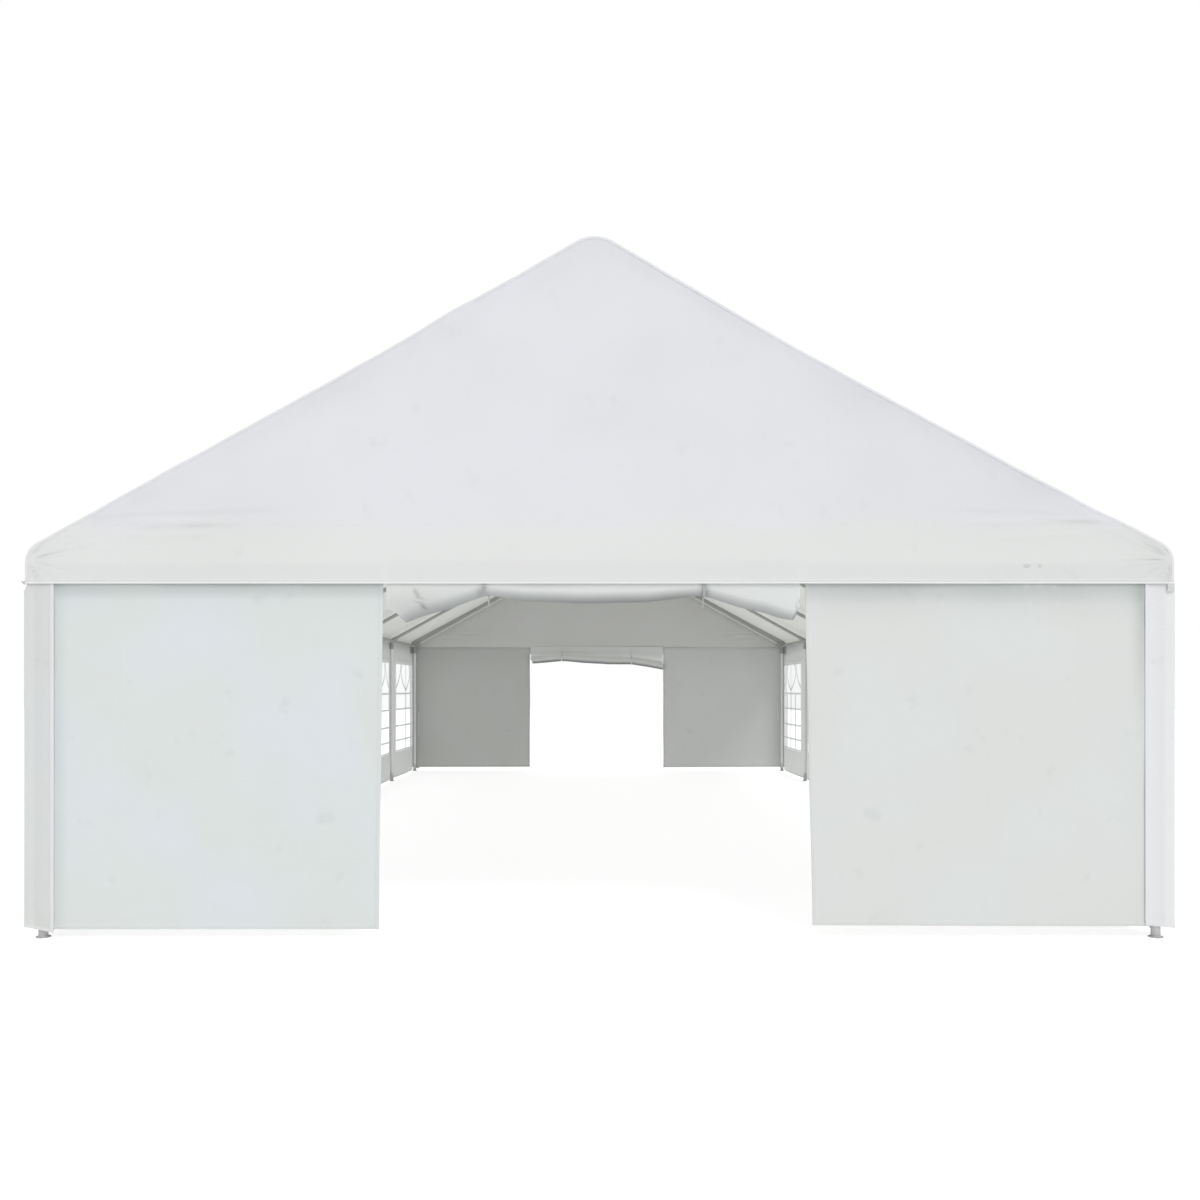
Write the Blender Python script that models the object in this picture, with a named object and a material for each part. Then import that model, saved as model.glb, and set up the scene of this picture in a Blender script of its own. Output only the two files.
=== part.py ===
"""A marquee tent, 6 m by 12 m: steel tube frames, a sewn roof cover, side walls with windows,
and gable walls with a roll-up door in each end.

Metres, +Z up. The origin is the centre of the footprint on the ground. +X goes across the tent,
and +Y goes along it, away from the front gable. Run it with blender --background --python part.py.
"""

from math import atan, cos, pi, radians, sin

import bmesh
import bpy
from mathutils import Matrix, Vector

# The frame.
WIDTH = 5.90  # between the centres of the posts
LENGTH = 12.0  # between the first and the last frame
BAYS = 6
TUBE_RADIUS = 0.021
SLEEVE_RADIUS = 0.0245  # the sockets that the tubes go into
TUBE_SIDES = 12
RIDGE_ARM = 0.12  # how far a connector's sockets reach along their tubes
EAVE_ARM = 0.10
POST_ARM = 0.12
PLATE_RADIUS = 0.038  # the round foot plate
PLATE_THICKNESS = 0.005
FOOT_SLEEVE_HEIGHT = 0.085
SOCKET_INSET = 0.004  # how far the last sockets stay inside the ends of a rail
POST_SOCKET_RISE = 0.002  # how far a post's socket stands above the sockets that it crosses
RAFTER_SOCKET_START = 0.003  # how far from the middle of the ridge a rafter's socket starts
NECK_INSET = 0.001  # the neck between the beam and its sockets is this much thinner than they are

# The roof cover, measured on its outer face.
PITCH = atan(0.554)
COVER_HALF_WIDTH = 3.03
COVER_APEX = 3.733  # where the two slopes would meet without the rounding
RIDGE_ROUND = 0.19
SHOULDER_ROUND = 0.12
VALANCE_HEM = 1.877
COVER_SAG = 0.020  # how far the middle of each slope hangs below a straight line
ARC_STEPS = 5
SAG_STEPS = 6  # an even number, so that a point of the slope lies over the purlin

# The cloth. It is thicker here than the real sheet, which is under 1 mm.
COVER_THICKNESS = 0.005
WALL_THICKNESS = 0.004
FILM_THICKNESS = 0.002
GAP = 0.0003  # between pieces that touch

# The side walls, with one window in each bay.
WALL_TOP = 1.975
SIDE_WALL_BOTTOM = 0.035
FLAP_EDGE = 2.89  # how near to the middle the wall comes where it turns round the corner post
FLARE_START = 0.09  # how far along the wall, from the gable, it leaves the cover's corner
FLARE_END = 0.30  # and where it reaches the line of the posts
WINDOW_WIDTH = 1.46
WINDOW_BOTTOM = 0.40
WINDOW_TOP = 1.70
FILM_MARGIN = 0.045  # how far the clear sheet laps past the windows

# The gable walls, beside the doorway. The inner edge of each leans a little.
GABLE_WALL_BOTTOM = 0.055
GABLE_WALL_OUTER = 2.985
DOOR_EDGES = {  # the inner edge's distance from the middle: at the top, at the bottom
    "front_left": (1.141, 1.165),
    "front_right": (1.083, 1.125),
    "rear_left": (1.098, 1.101),
    "rear_right": (1.041, 1.045),
}

# The rolled-up doors. A station is: across, height of the roll's underside, radius.
HEADER_TOP = 1.99
HEADER_BOTTOM = 1.80
HEADER_HALF_WIDTH = 1.02
TIE_WIDTH = 0.03
TIE_THICKNESS = 0.003
FRONT_ROLL = (
    (-1.125, 1.690, 0.046),
    (-1.03, 1.672, 0.056),
    (-0.88, 1.700, 0.060),
    (-0.609, 1.812, 0.046),
    (-0.42, 1.784, 0.056),
    (-0.10, 1.769, 0.060),
    (0.25, 1.776, 0.058),
    (0.553, 1.812, 0.046),
    (0.78, 1.742, 0.056),
    (0.99, 1.678, 0.056),
    (1.058, 1.684, 0.046),
)
REAR_ROLL = (
    (-1.083, 1.722, 0.046),
    (-0.878, 1.738, 0.058),
    (-0.588, 1.790, 0.046),
    (-0.228, 1.745, 0.060),
    (0.172, 1.748, 0.060),
    (0.532, 1.776, 0.046),
    (0.822, 1.690, 0.056),
    (1.027, 1.626, 0.046),
)
TIES_AT = {"front": (-0.609, 0.553), "rear": (-0.588, 0.532)}

# Modelling values, which have no counterpart in the tent.
WELD_DISTANCE = 0.00002
SHARP_ANGLE = radians(40)
CUTTER_REACH = 0.05  # how far a window's cutter passes the wall on each side

# Values that follow from those above.
HALF_WIDTH = WIDTH / 2
HALF_LENGTH = LENGTH / 2
BAY = LENGTH / BAYS
FRAME_PLACES = [-HALF_LENGTH + BAY * i for i in range(BAYS + 1)]
SLOPE = sin(PITCH) / cos(PITCH)
RIDGE_CENTRE = COVER_APEX - RIDGE_ROUND / cos(PITCH)
COVER_TOP = RIDGE_CENTRE + RIDGE_ROUND
RIDGE_HEIGHT = COVER_TOP - COVER_THICKNESS - GAP - SLEEVE_RADIUS
SHOULDER_X = COVER_HALF_WIDTH - SHOULDER_ROUND
SHOULDER_Z = COVER_APEX - SLOPE * SHOULDER_X - SHOULDER_ROUND / cos(PITCH)
SLOPE_START = RIDGE_ROUND * sin(PITCH)  # where the slope leaves the rounding of the ridge
SLOPE_END = SHOULDER_X + SHOULDER_ROUND * sin(PITCH)
SLOPE_MIDDLE = (SLOPE_START + SLOPE_END) / 2

# The cover lies on the purlins, and the purlins lie on the rafters.
COVER_TO_PURLIN = COVER_THICKNESS + GAP + TUBE_RADIUS
PURLIN_TO_RAFTER = 2 * TUBE_RADIUS + GAP
PURLIN_X = SLOPE_MIDDLE - COVER_TO_PURLIN * sin(PITCH)
PURLIN_Z = COVER_APEX - SLOPE * SLOPE_MIDDLE - COVER_SAG - COVER_TO_PURLIN * cos(PITCH)
RAFTER_X = PURLIN_X - PURLIN_TO_RAFTER * sin(PITCH)
RAFTER_Z = PURLIN_Z - PURLIN_TO_RAFTER * cos(PITCH)
RAFTER_APEX = RAFTER_Z + SLOPE * RAFTER_X
EAVE_HEIGHT = RAFTER_APEX - SLOPE * HALF_WIDTH

# The layers at a gable, as distances from the middle of the tent along Y.
GABLE_WALL_INNER = HALF_LENGTH + SLEEVE_RADIUS + GAP
FLAP_INNER = GABLE_WALL_INNER + WALL_THICKNESS + GAP
GABLE_COVER_INNER = FLAP_INNER + WALL_THICKNESS + GAP
# The layers at a side, as distances from the middle of the tent along X.
CORNER_OUTER = COVER_HALF_WIDTH - COVER_THICKNESS - GAP
SIDE_WALL_OUTER = HALF_WIDTH + SLEEVE_RADIUS + GAP + WALL_THICKNESS
FILM_OUTER = SIDE_WALL_OUTER - WALL_THICKNESS - GAP


def clear_scene():
    for thing in list(bpy.data.objects):
        bpy.data.objects.remove(thing, do_unlink=True)


def new_collection(name):
    collection = bpy.data.collections.new(name)
    bpy.context.scene.collection.children.link(collection)
    return collection


def new_material(name, colour, roughness, metallic=0.0):
    material = bpy.data.materials.new(name)
    material.use_nodes = True
    shader = material.node_tree.nodes["Principled BSDF"]
    shader.inputs["Base Color"].default_value = (*colour, 1.0)
    shader.inputs["Roughness"].default_value = roughness
    shader.inputs["Metallic"].default_value = metallic
    material.diffuse_color = (*colour, 1.0)
    return material


def new_piece(name, mesh, material):
    """Puts a mesh into the tent as one named sub-part."""
    piece = bpy.data.objects.new(name, mesh)
    tent.objects.link(piece)
    piece.data.materials.clear()
    piece.data.materials.append(material)
    return piece


def new_helper(name, mesh):
    """A cutter or another solid that is only used to shape a sub-part."""
    helper = bpy.data.objects.new(name, mesh)
    helpers.objects.link(helper)
    helper.hide_render = True
    helper.display_type = "WIRE"
    return helper


def finished(shape, name):
    mesh = bpy.data.meshes.new(name)
    shape.to_mesh(mesh)
    shape.free()
    return mesh


def box(name, low, high):
    shape = bmesh.new()
    low = Vector(low)
    high = Vector(high)
    place = Matrix.Translation((low + high) / 2) @ Matrix.Diagonal((*(high - low), 1))
    bmesh.ops.create_cube(shape, size=1, matrix=place)
    return finished(shape, name)


def tube(name, start, end, radius):
    """A round bar between two points. One of its edges faces up or out, to meet its neighbours."""
    start = Vector(start)
    end = Vector(end)
    along = (end - start).normalized()
    across = Vector((0, 1, 0)) if abs(along.y) < 0.5 else Vector((1, 0, 0))
    turn = Matrix((across.cross(along), across, along)).transposed().to_4x4()
    if turn.determinant() < 0:
        turn = turn @ Matrix.Diagonal((-1, 1, 1, 1))
    shape = bmesh.new()
    bmesh.ops.create_cone(
        shape,
        cap_ends=True,
        segments=TUBE_SIDES,
        radius1=radius,
        radius2=radius,
        depth=(end - start).length,
        matrix=Matrix.Translation((start + end) / 2) @ turn,
    )
    return finished(shape, name)


def shade_round(mesh):
    mesh.shade_smooth()
    mesh.set_sharp_from_angle(angle=SHARP_ANGLE)


def evaluated_mesh(thing):
    depsgraph = bpy.context.evaluated_depsgraph_get()
    return bpy.data.meshes.new_from_object(thing.evaluated_get(depsgraph))


def fused(name, meshes):
    """The union of several solids, as one mesh."""
    base = new_helper(name + "_base", meshes[0])
    others = bpy.data.collections.new(name + "_others")
    helpers.children.link(others)
    for i, mesh in enumerate(meshes[1:]):
        others.objects.link(bpy.data.objects.new(f"{name}_other_{i}", mesh))
    union = base.modifiers.new("union", "BOOLEAN")
    union.operation = "UNION"
    union.solver = "EXACT"
    union.operand_type = "COLLECTION"
    union.collection = others
    mesh = evaluated_mesh(base)
    mesh.name = name
    for other in list(others.objects):
        bpy.data.objects.remove(other, do_unlink=True)
    bpy.data.collections.remove(others)
    bpy.data.objects.remove(base, do_unlink=True)
    return mesh


def outline_solid(name, points, thickness, place):
    """A flat outline with an even thickness, centred on the plane that place puts it in."""
    curve = bpy.data.curves.new(name, "CURVE")
    curve.dimensions = "2D"
    curve.fill_mode = "BOTH"
    curve.extrude = thickness / 2
    spline = curve.splines.new("POLY")
    spline.points.add(len(points) - 1)
    for point, (x, y) in zip(spline.points, points):
        point.co = (x, y, 0, 1)
    spline.use_cyclic_u = True
    return closed_mesh(name, curve, place)


def closed_mesh(name, curve, place):
    """The mesh of a curve object, with its loose caps welded on."""
    guide = new_helper(name + "_guide", curve)
    guide.matrix_world = place
    bpy.context.view_layer.update()
    mesh = evaluated_mesh(guide)
    mesh.transform(guide.matrix_world)
    bpy.data.objects.remove(guide, do_unlink=True)
    shape = bmesh.new()
    shape.from_mesh(mesh)
    bmesh.ops.remove_doubles(shape, verts=shape.verts, dist=WELD_DISTANCE)
    bmesh.ops.recalc_face_normals(shape, faces=shape.faces)
    shape.to_mesh(mesh)
    shape.free()
    mesh.name = name
    return mesh


def upright(y):
    """Stands a flat outline up, facing along Y, with its centre plane at y."""
    return Matrix.Translation((0, y, 0)) @ Matrix.Rotation(pi / 2, 4, "X")


def arc(centre, radius, first, last):
    """Points on an arc, by their angles above +X."""
    steps = [first + (last - first) * i / ARC_STEPS for i in range(ARC_STEPS + 1)]
    return [(centre[0] + radius * cos(a), centre[1] + radius * sin(a)) for a in steps]


def cover_half_profile(depth=0.0):
    """One slope's section from the ridge down to the hem of the valance, depth inside its outer face."""
    turned = pi / 2 - PITCH
    upper = arc((0, RIDGE_CENTRE), RIDGE_ROUND - depth, pi / 2, turned)
    slope = []
    for i in range(1, SAG_STEPS):
        share = i / SAG_STEPS
        x = SLOPE_START + (SLOPE_END - SLOPE_START) * share
        z = COVER_APEX - SLOPE * x - COVER_SAG * (1 - (2 * share - 1) ** 2)
        slope.append((x - depth * sin(PITCH), z - depth * cos(PITCH)))
    shoulder = arc((SHOULDER_X, SHOULDER_Z), SHOULDER_ROUND - depth, turned, 0)
    return upper + slope + shoulder + [(COVER_HALF_WIDTH - depth, VALANCE_HEM)]


def build_posts():
    for side, name in SIDES:
        for number, y in enumerate(FRAME_PLACES, 1):
            x = side * HALF_WIDTH
            plate = tube("plate", (x, y, 0), (x, y, PLATE_THICKNESS), PLATE_RADIUS)
            lap = PLATE_THICKNESS / 2
            sleeve = tube("sleeve", (x, y, lap), (x, y, FOOT_SLEEVE_HEIGHT), SLEEVE_RADIUS)
            top = EAVE_HEIGHT - POST_ARM - GAP
            leg = tube("leg", (x, y, FOOT_SLEEVE_HEIGHT - lap), (x, y, top), TUBE_RADIUS)
            mesh = fused("post", [plate, sleeve, leg])
            shade_round(mesh)
            new_piece(f"post_{name}_{number}", mesh, galvanised_steel)


def build_eave_rails():
    """Each rail with the connectors that it joins, which hold the posts and the rafters."""
    for side, name in SIDES:
        x = side * HALF_WIDTH
        solids = [tube("rail", (x, -HALF_LENGTH, EAVE_HEIGHT), (x, HALF_LENGTH, EAVE_HEIGHT), TUBE_RADIUS)]
        for y in FRAME_PLACES:
            low = max(y - EAVE_ARM, -HALF_LENGTH + SOCKET_INSET)
            high = min(y + EAVE_ARM, HALF_LENGTH - SOCKET_INSET)
            solids.append(tube("along", (x, low, EAVE_HEIGHT), (x, high, EAVE_HEIGHT), SLEEVE_RADIUS))
            bottom = (x, y, EAVE_HEIGHT - POST_ARM)
            top = (x, y, EAVE_HEIGHT + SLEEVE_RADIUS + POST_SOCKET_RISE)
            solids.append(tube("down", bottom, top, SLEEVE_RADIUS))
            start = Vector((x, y, EAVE_HEIGHT))
            up = Vector((-side * cos(PITCH), 0, sin(PITCH)))
            solids.append(tube("up", start + up * SOCKET_INSET, start + up * EAVE_ARM, SLEEVE_RADIUS))
        mesh = fused("eave_rail", solids)
        shade_round(mesh)
        new_piece(f"eave_rail_{name}", mesh, galvanised_steel)


def build_ridge_beam():
    """The beam along the ridge with the connectors that hold the tops of the rafters."""
    solids = [tube("beam", (0, -HALF_LENGTH, RIDGE_HEIGHT), (0, HALF_LENGTH, RIDGE_HEIGHT), TUBE_RADIUS)]
    for y in FRAME_PLACES:
        low = max(y - RIDGE_ARM, -HALF_LENGTH - SLEEVE_RADIUS)
        high = min(y + RIDGE_ARM, HALF_LENGTH + SLEEVE_RADIUS)
        solids.append(tube("along", (0, low, RIDGE_HEIGHT), (0, high, RIDGE_HEIGHT), SLEEVE_RADIUS))
        neck_bottom = (0, y, RAFTER_APEX - SLEEVE_RADIUS / 2)
        solids.append(tube("neck", neck_bottom, (0, y, RIDGE_HEIGHT), SLEEVE_RADIUS - NECK_INSET))
        for side, _ in SIDES:
            start = Vector((0, y, RAFTER_APEX))
            down = Vector((side * cos(PITCH), 0, -sin(PITCH)))
            socket_start = start + down * RAFTER_SOCKET_START
            solids.append(tube("down", socket_start, start + down * RIDGE_ARM, SLEEVE_RADIUS))
    mesh = fused("ridge_beam", solids)
    shade_round(mesh)
    new_piece("ridge_beam", mesh, galvanised_steel)


def build_rafters():
    for side, name in SIDES:
        down = Vector((side * cos(PITCH), 0, -sin(PITCH)))
        length = HALF_WIDTH / cos(PITCH)
        for number, y in enumerate(FRAME_PLACES, 1):
            top = Vector((0, y, RAFTER_APEX))
            start = top + down * (RIDGE_ARM + GAP)
            end = top + down * (length - EAVE_ARM - GAP)
            mesh = tube("rafter", start, end, TUBE_RADIUS)
            shade_round(mesh)
            new_piece(f"rafter_{name}_{number}", mesh, galvanised_steel)


def build_purlins():
    for side, name in SIDES:
        x = side * PURLIN_X
        reach = HALF_LENGTH + TUBE_RADIUS
        mesh = tube("purlin", (x, -reach, PURLIN_Z), (x, reach, PURLIN_Z), TUBE_RADIUS)
        shade_round(mesh)
        new_piece(f"purlin_{name}", mesh, galvanised_steel)


def build_roof_covers():
    """One slope with its shoulder and its side valance. The slopes meet along the ridge."""
    reach = GABLE_COVER_INNER - GAP
    outline = cover_half_profile() + cover_half_profile(COVER_THICKNESS)[::-1]
    for side, name in SIDES:
        section = [(side * max(x, GAP / 2), z) for x, z in outline]
        mesh = outline_solid("roof_cover", section, 2 * reach, upright(0))
        new_piece(f"roof_cover_{name}", mesh, roof_cloth)


def build_gable_covers():
    half = cover_half_profile()
    outline = [(-x, z) for x, z in reversed(half)] + half[1:]
    centre = GABLE_COVER_INNER + COVER_THICKNESS / 2
    for end, name in ENDS:
        mesh = outline_solid("gable_cover", outline, COVER_THICKNESS, upright(end * centre))
        new_piece(f"gable_cover_{name}", mesh, roof_cloth)


def build_side_walls():
    """A wall along each side, which turns round the corner posts, with its windows cut out."""
    depth = FLAP_INNER + WALL_THICKNESS
    outer = SIDE_WALL_OUTER
    height = WALL_TOP - SIDE_WALL_BOTTOM
    for side, name in SIDES:
        rear_half = [
            (outer, depth - FLARE_END),
            (CORNER_OUTER, depth - FLARE_START),
            (CORNER_OUTER, depth),
            (FLAP_EDGE, depth),
            (FLAP_EDGE, FLAP_INNER),
            (CORNER_OUTER - WALL_THICKNESS, FLAP_INNER),
            (CORNER_OUTER - WALL_THICKNESS, depth - FLARE_START),
            (outer - WALL_THICKNESS, depth - FLARE_END),
        ]
        outline = rear_half + [(x, -y) for x, y in reversed(rear_half)]
        outline = [(side * x, y) for x, y in outline]
        place = Matrix.Translation((0, 0, SIDE_WALL_BOTTOM + height / 2))
        mesh = outline_solid("side_wall", outline, height, place)
        wall = new_piece(f"side_wall_{name}", mesh, wall_cloth)
        for i, y in enumerate(FRAME_PLACES[:-1]):
            middle = y + BAY / 2
            low = (side * outer - CUTTER_REACH, middle - WINDOW_WIDTH / 2, WINDOW_BOTTOM)
            high = (side * outer + CUTTER_REACH, middle + WINDOW_WIDTH / 2, WINDOW_TOP)
            cutter = new_helper(f"window_cutter_{name}_{i + 1}", box("window_cutter", low, high))
            cut = wall.modifiers.new(f"window_{i + 1}", "BOOLEAN")
            cut.operation = "DIFFERENCE"
            cut.solver = "EXACT"
            cut.object = cutter


def build_window_films():
    """One clear sheet inside each side wall closes its six windows."""
    reach = HALF_LENGTH - BAY / 2 + WINDOW_WIDTH / 2 + FILM_MARGIN
    for side, name in SIDES:
        faces = sorted((side * FILM_OUTER, side * (FILM_OUTER - FILM_THICKNESS)))
        low = (faces[0], -reach, WINDOW_BOTTOM - FILM_MARGIN)
        high = (faces[1], reach, WINDOW_TOP + FILM_MARGIN)
        new_piece(f"window_film_{name}", box("window_film", low, high), clear_film)


def build_gable_walls():
    centre = GABLE_WALL_INNER + WALL_THICKNESS / 2
    for end, end_name in ENDS:
        for side, side_name in SIDES:
            top, bottom = DOOR_EDGES[f"{end_name}_{side_name}"]
            outline = [
                (side * GABLE_WALL_OUTER, GABLE_WALL_BOTTOM),
                (side * bottom, GABLE_WALL_BOTTOM),
                (side * top, WALL_TOP),
                (side * GABLE_WALL_OUTER, WALL_TOP),
            ]
            mesh = outline_solid("gable_wall", outline, WALL_THICKNESS, upright(end * centre))
            new_piece(f"gable_wall_{end_name}_{side_name}", mesh, wall_cloth)


def roll_solid(stations, y):
    """The rolled cloth: a round bundle that sags between its ties."""
    widest = max(radius for _, _, radius in stations)
    curve = bpy.data.curves.new("roll", "CURVE")
    curve.dimensions = "3D"
    curve.bevel_depth = widest
    curve.bevel_resolution = 2
    curve.use_fill_caps = True
    spline = curve.splines.new("POLY")
    spline.points.add(len(stations) - 1)
    for point, (x, underside, radius) in zip(spline.points, stations):
        point.co = (x, y, underside + radius, 1)
        point.radius = radius / widest
    return closed_mesh("roll", curve, Matrix.Identity(4))


def build_door_rolls():
    """Each rolled door, with the flat cloth that it hangs from and the ties round it."""
    for end, name in ENDS:
        stations = FRONT_ROLL if end < 0 else REAR_ROLL
        header_outer = FLAP_INNER + WALL_THICKNESS
        widest = max(radius for _, _, radius in stations)
        y = end * (header_outer - widest)
        faces = sorted((end * header_outer, end * FLAP_INNER))
        low = (-HEADER_HALF_WIDTH, faces[0], HEADER_BOTTOM)
        high = (HEADER_HALF_WIDTH, faces[1], HEADER_TOP)
        solids = [roll_solid(stations, y), box("header", low, high)]
        for x, underside, radius in stations:
            if x in TIES_AT[name]:
                z = underside + radius
                ends = (x - TIE_WIDTH / 2, y, z), (x + TIE_WIDTH / 2, y, z)
                solids.append(tube("tie", *ends, radius + TIE_THICKNESS))
        mesh = fused("door_roll", solids)
        shade_round(mesh)
        new_piece(f"door_roll_{name}", mesh, wall_cloth)


SIDES = ((-1, "left"), (1, "right"))
ENDS = ((-1, "front"), (1, "rear"))

clear_scene()
tent = new_collection("marquee_tent")
helpers = new_collection("helpers")
galvanised_steel = new_material("galvanised_steel", (0.55, 0.56, 0.57), 0.45, 0.7)
roof_cloth = new_material("roof_cloth", (0.76, 0.77, 0.79), 0.55)
wall_cloth = new_material("wall_cloth", (0.70, 0.73, 0.72), 0.58)
clear_film = new_material("clear_film", (0.90, 0.92, 0.93), 0.10)

build_posts()
build_eave_rails()
build_ridge_beam()
build_rafters()
build_purlins()
build_roof_covers()
build_gable_covers()
build_side_walls()
build_window_films()
build_gable_walls()
build_door_rolls()
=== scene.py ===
from math import atan, cos, pi, radians, sin

import bmesh
import bpy
import numpy as np
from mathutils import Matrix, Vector


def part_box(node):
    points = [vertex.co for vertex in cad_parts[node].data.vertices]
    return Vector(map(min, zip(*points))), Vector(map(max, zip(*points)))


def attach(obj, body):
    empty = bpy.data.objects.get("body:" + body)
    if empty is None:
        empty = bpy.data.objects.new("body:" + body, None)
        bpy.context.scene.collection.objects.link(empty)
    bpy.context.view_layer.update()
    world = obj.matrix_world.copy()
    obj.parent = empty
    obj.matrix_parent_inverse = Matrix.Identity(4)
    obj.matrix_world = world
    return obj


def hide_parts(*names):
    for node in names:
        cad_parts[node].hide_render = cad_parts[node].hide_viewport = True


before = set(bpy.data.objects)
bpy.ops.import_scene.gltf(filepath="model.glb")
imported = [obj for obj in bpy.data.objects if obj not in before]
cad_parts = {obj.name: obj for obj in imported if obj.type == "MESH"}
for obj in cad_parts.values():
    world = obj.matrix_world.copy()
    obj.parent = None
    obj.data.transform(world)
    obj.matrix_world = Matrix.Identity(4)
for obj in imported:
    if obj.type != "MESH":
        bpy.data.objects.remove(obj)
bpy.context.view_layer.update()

# The sizes that every piece shares, in metres. Y runs along the ridge, and the front gable faces -Y.
tent = {
    "halfWidth": 2.95, "halfLength": 6.0, "bay": 2.0, "bays": 6,
    "tube": 0.021, "socket": 0.0245,
    "slope": 0.554, "coverHalfWidth": 3.03, "coverApex": 3.733, "coverSag": 0.020,
    "ridgeRound": 0.19, "shoulderRound": 0.12, "valanceHem": 1.871,
    "postArm": 0.12, "eaveArm": 0.10, "ridgeArm": 0.12, "footSleeve": 0.085,
}
pitch = atan(tent["slope"])
framePlaces = [-tent["halfLength"] + tent["bay"] * i for i in range(tent["bays"] + 1)]
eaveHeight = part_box("eave_rail_left")[0].z + tent["postArm"]
gableOuter = -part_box("gable_cover_front")[0].y
sides = ((-1, "Left", "left"), (1, "Right", "right"))
ends = ((-1, "Front", "front"), (1, "Rear", "rear"))


# Small tools
def smooth(low, high, value):
    share = np.clip((value - low) / (high - low), 0, 1)
    return share * share * (3 - 2 * share)


def bump(centre, width, value):
    return np.exp(-(((value - centre) / width) ** 2))


def drift(x, y, seed):  # smooth unevenness from -1 to 1, about one swell a unit, and its own for each seed
    x, y = np.asarray(x, float) + seed * 17.3, np.asarray(y, float) - seed * 9.1
    xCell, yCell = np.floor(x), np.floor(y)
    xPart, yPart = x - xCell, y - yCell

    def corner(i, j):
        turn = np.sin((xCell + i) * 12.9898 + (yCell + j) * 78.233 + seed * 3.719) * 43758.5453
        turn = (turn - np.floor(turn)) * 2 * pi
        return np.cos(turn) * (xPart - i) + np.sin(turn) * (yPart - j)

    xEase = xPart**3 * (xPart * (xPart * 6 - 15) + 10)
    yEase = yPart**3 * (yPart * (yPart * 6 - 15) + 10)
    near = corner(0, 0) * (1 - xEase) + corner(1, 0) * xEase
    far = corner(0, 1) * (1 - xEase) + corner(1, 1) * xEase
    return 1.5 * (near * (1 - yEase) + far * yEase)


def crumple(x, y, seed):  # three sizes of unevenness together
    large, middling = drift(x, y, seed), drift(x * 2.1, y * 2.1, seed + 1)
    return large + 0.5 * middling + 0.25 * drift(x * 4.3, y * 4.3, seed + 2)


def creased(x, y, seed):  # sharp narrow folds between soft swells
    return 1 - np.abs(drift(x, y, seed)) * 1.6


def lines(low, high, step, extra=()):
    # evenly spaced grid lines, with the extra ones in place of those too near them
    even = np.linspace(low, high, max(1, round((high - low) / step)) + 1)
    extra = np.array(sorted(set(extra)))
    if len(extra):
        gaps = np.abs(even[:, None] - extra[None, :]).min(axis=1)
        even = even[gaps > step * 0.3]
    return np.unique(np.round(np.concatenate([even, extra]), 6))


def mirrored(values):
    return np.concatenate([-values[::-1], values[1:]])


def fromFrames(y):  # 0 at a frame, 1 in the middle of a bay
    return np.abs((y / tent["bay"] + 0.5) % 1 - 0.5) * 2


# a hem: how much cloth is turned in, and how far from the edge the grid is even again
hem = {"depth": 0.020, "fade": 0.006, "fold": 0.0022, "lift": 0.0024, "turned": 0.017, "clear": 0.036}
hemLines = [-hem["turned"], -0.009, -0.004, -0.0015, 0, 0.0015, 0.004, 0.009, 0.016, 0.020, 0.024, 0.030]


def hemAtLow(value):  # where a hem's own grid lines lie, at the low edge
    return [value + part for part in hemLines]


def hemAtHigh(value):
    return [value - part for part in hemLines]


def hemmedLines(high, step, extra=()):  # across a sheet with a hem at both ends
    inner = lines(hem["clear"], high - hem["clear"], step, extra)
    return np.unique(np.concatenate([hemAtLow(0), inner, hemAtHigh(high)]))


def folded(distance, reach=0.4):
    # a hem at a free edge: distance from the fold to (inset from the edge, lift off the sheet's middle)
    inset = np.sqrt(distance**2 + hem["fold"] ** 2) - hem["fold"]
    flatness = 1 - smooth(hem["depth"], hem["depth"] + hem["fade"], np.abs(distance))
    lift = hem["lift"] * np.tanh(distance / hem["fold"]) * flatness
    return np.where(distance < reach, inset, distance), lift


def hungBetween(v, high):  # a wall with a hem below and above: (share of its height, lift off its middle)
    insetLow, riseLow = folded(v)
    insetTop, riseTop = folded(high - v)
    return np.where(v < high / 2, insetLow, high - insetTop) / high, riseLow + riseTop


# Shader writing
class Signal:  # a shader socket that takes part in sums
    def __init__(self, recipe, socket):
        self.recipe, self.socket = recipe, socket

    def __add__(self, other):
        return self.recipe.maths("ADD", self, other)

    def __radd__(self, other):
        return self.recipe.maths("ADD", other, self)

    def __sub__(self, other):
        return self.recipe.maths("SUBTRACT", self, other)

    def __rsub__(self, other):
        return self.recipe.maths("SUBTRACT", other, self)

    def __mul__(self, other):
        return self.recipe.maths("MULTIPLY", self, other)

    def __truediv__(self, other):
        return self.recipe.maths("DIVIDE", self, other)

    def __lt__(self, other):
        return self.recipe.maths("LESS_THAN", self, other)

    def __gt__(self, other):
        return self.recipe.maths("GREATER_THAN", self, other)


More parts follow.
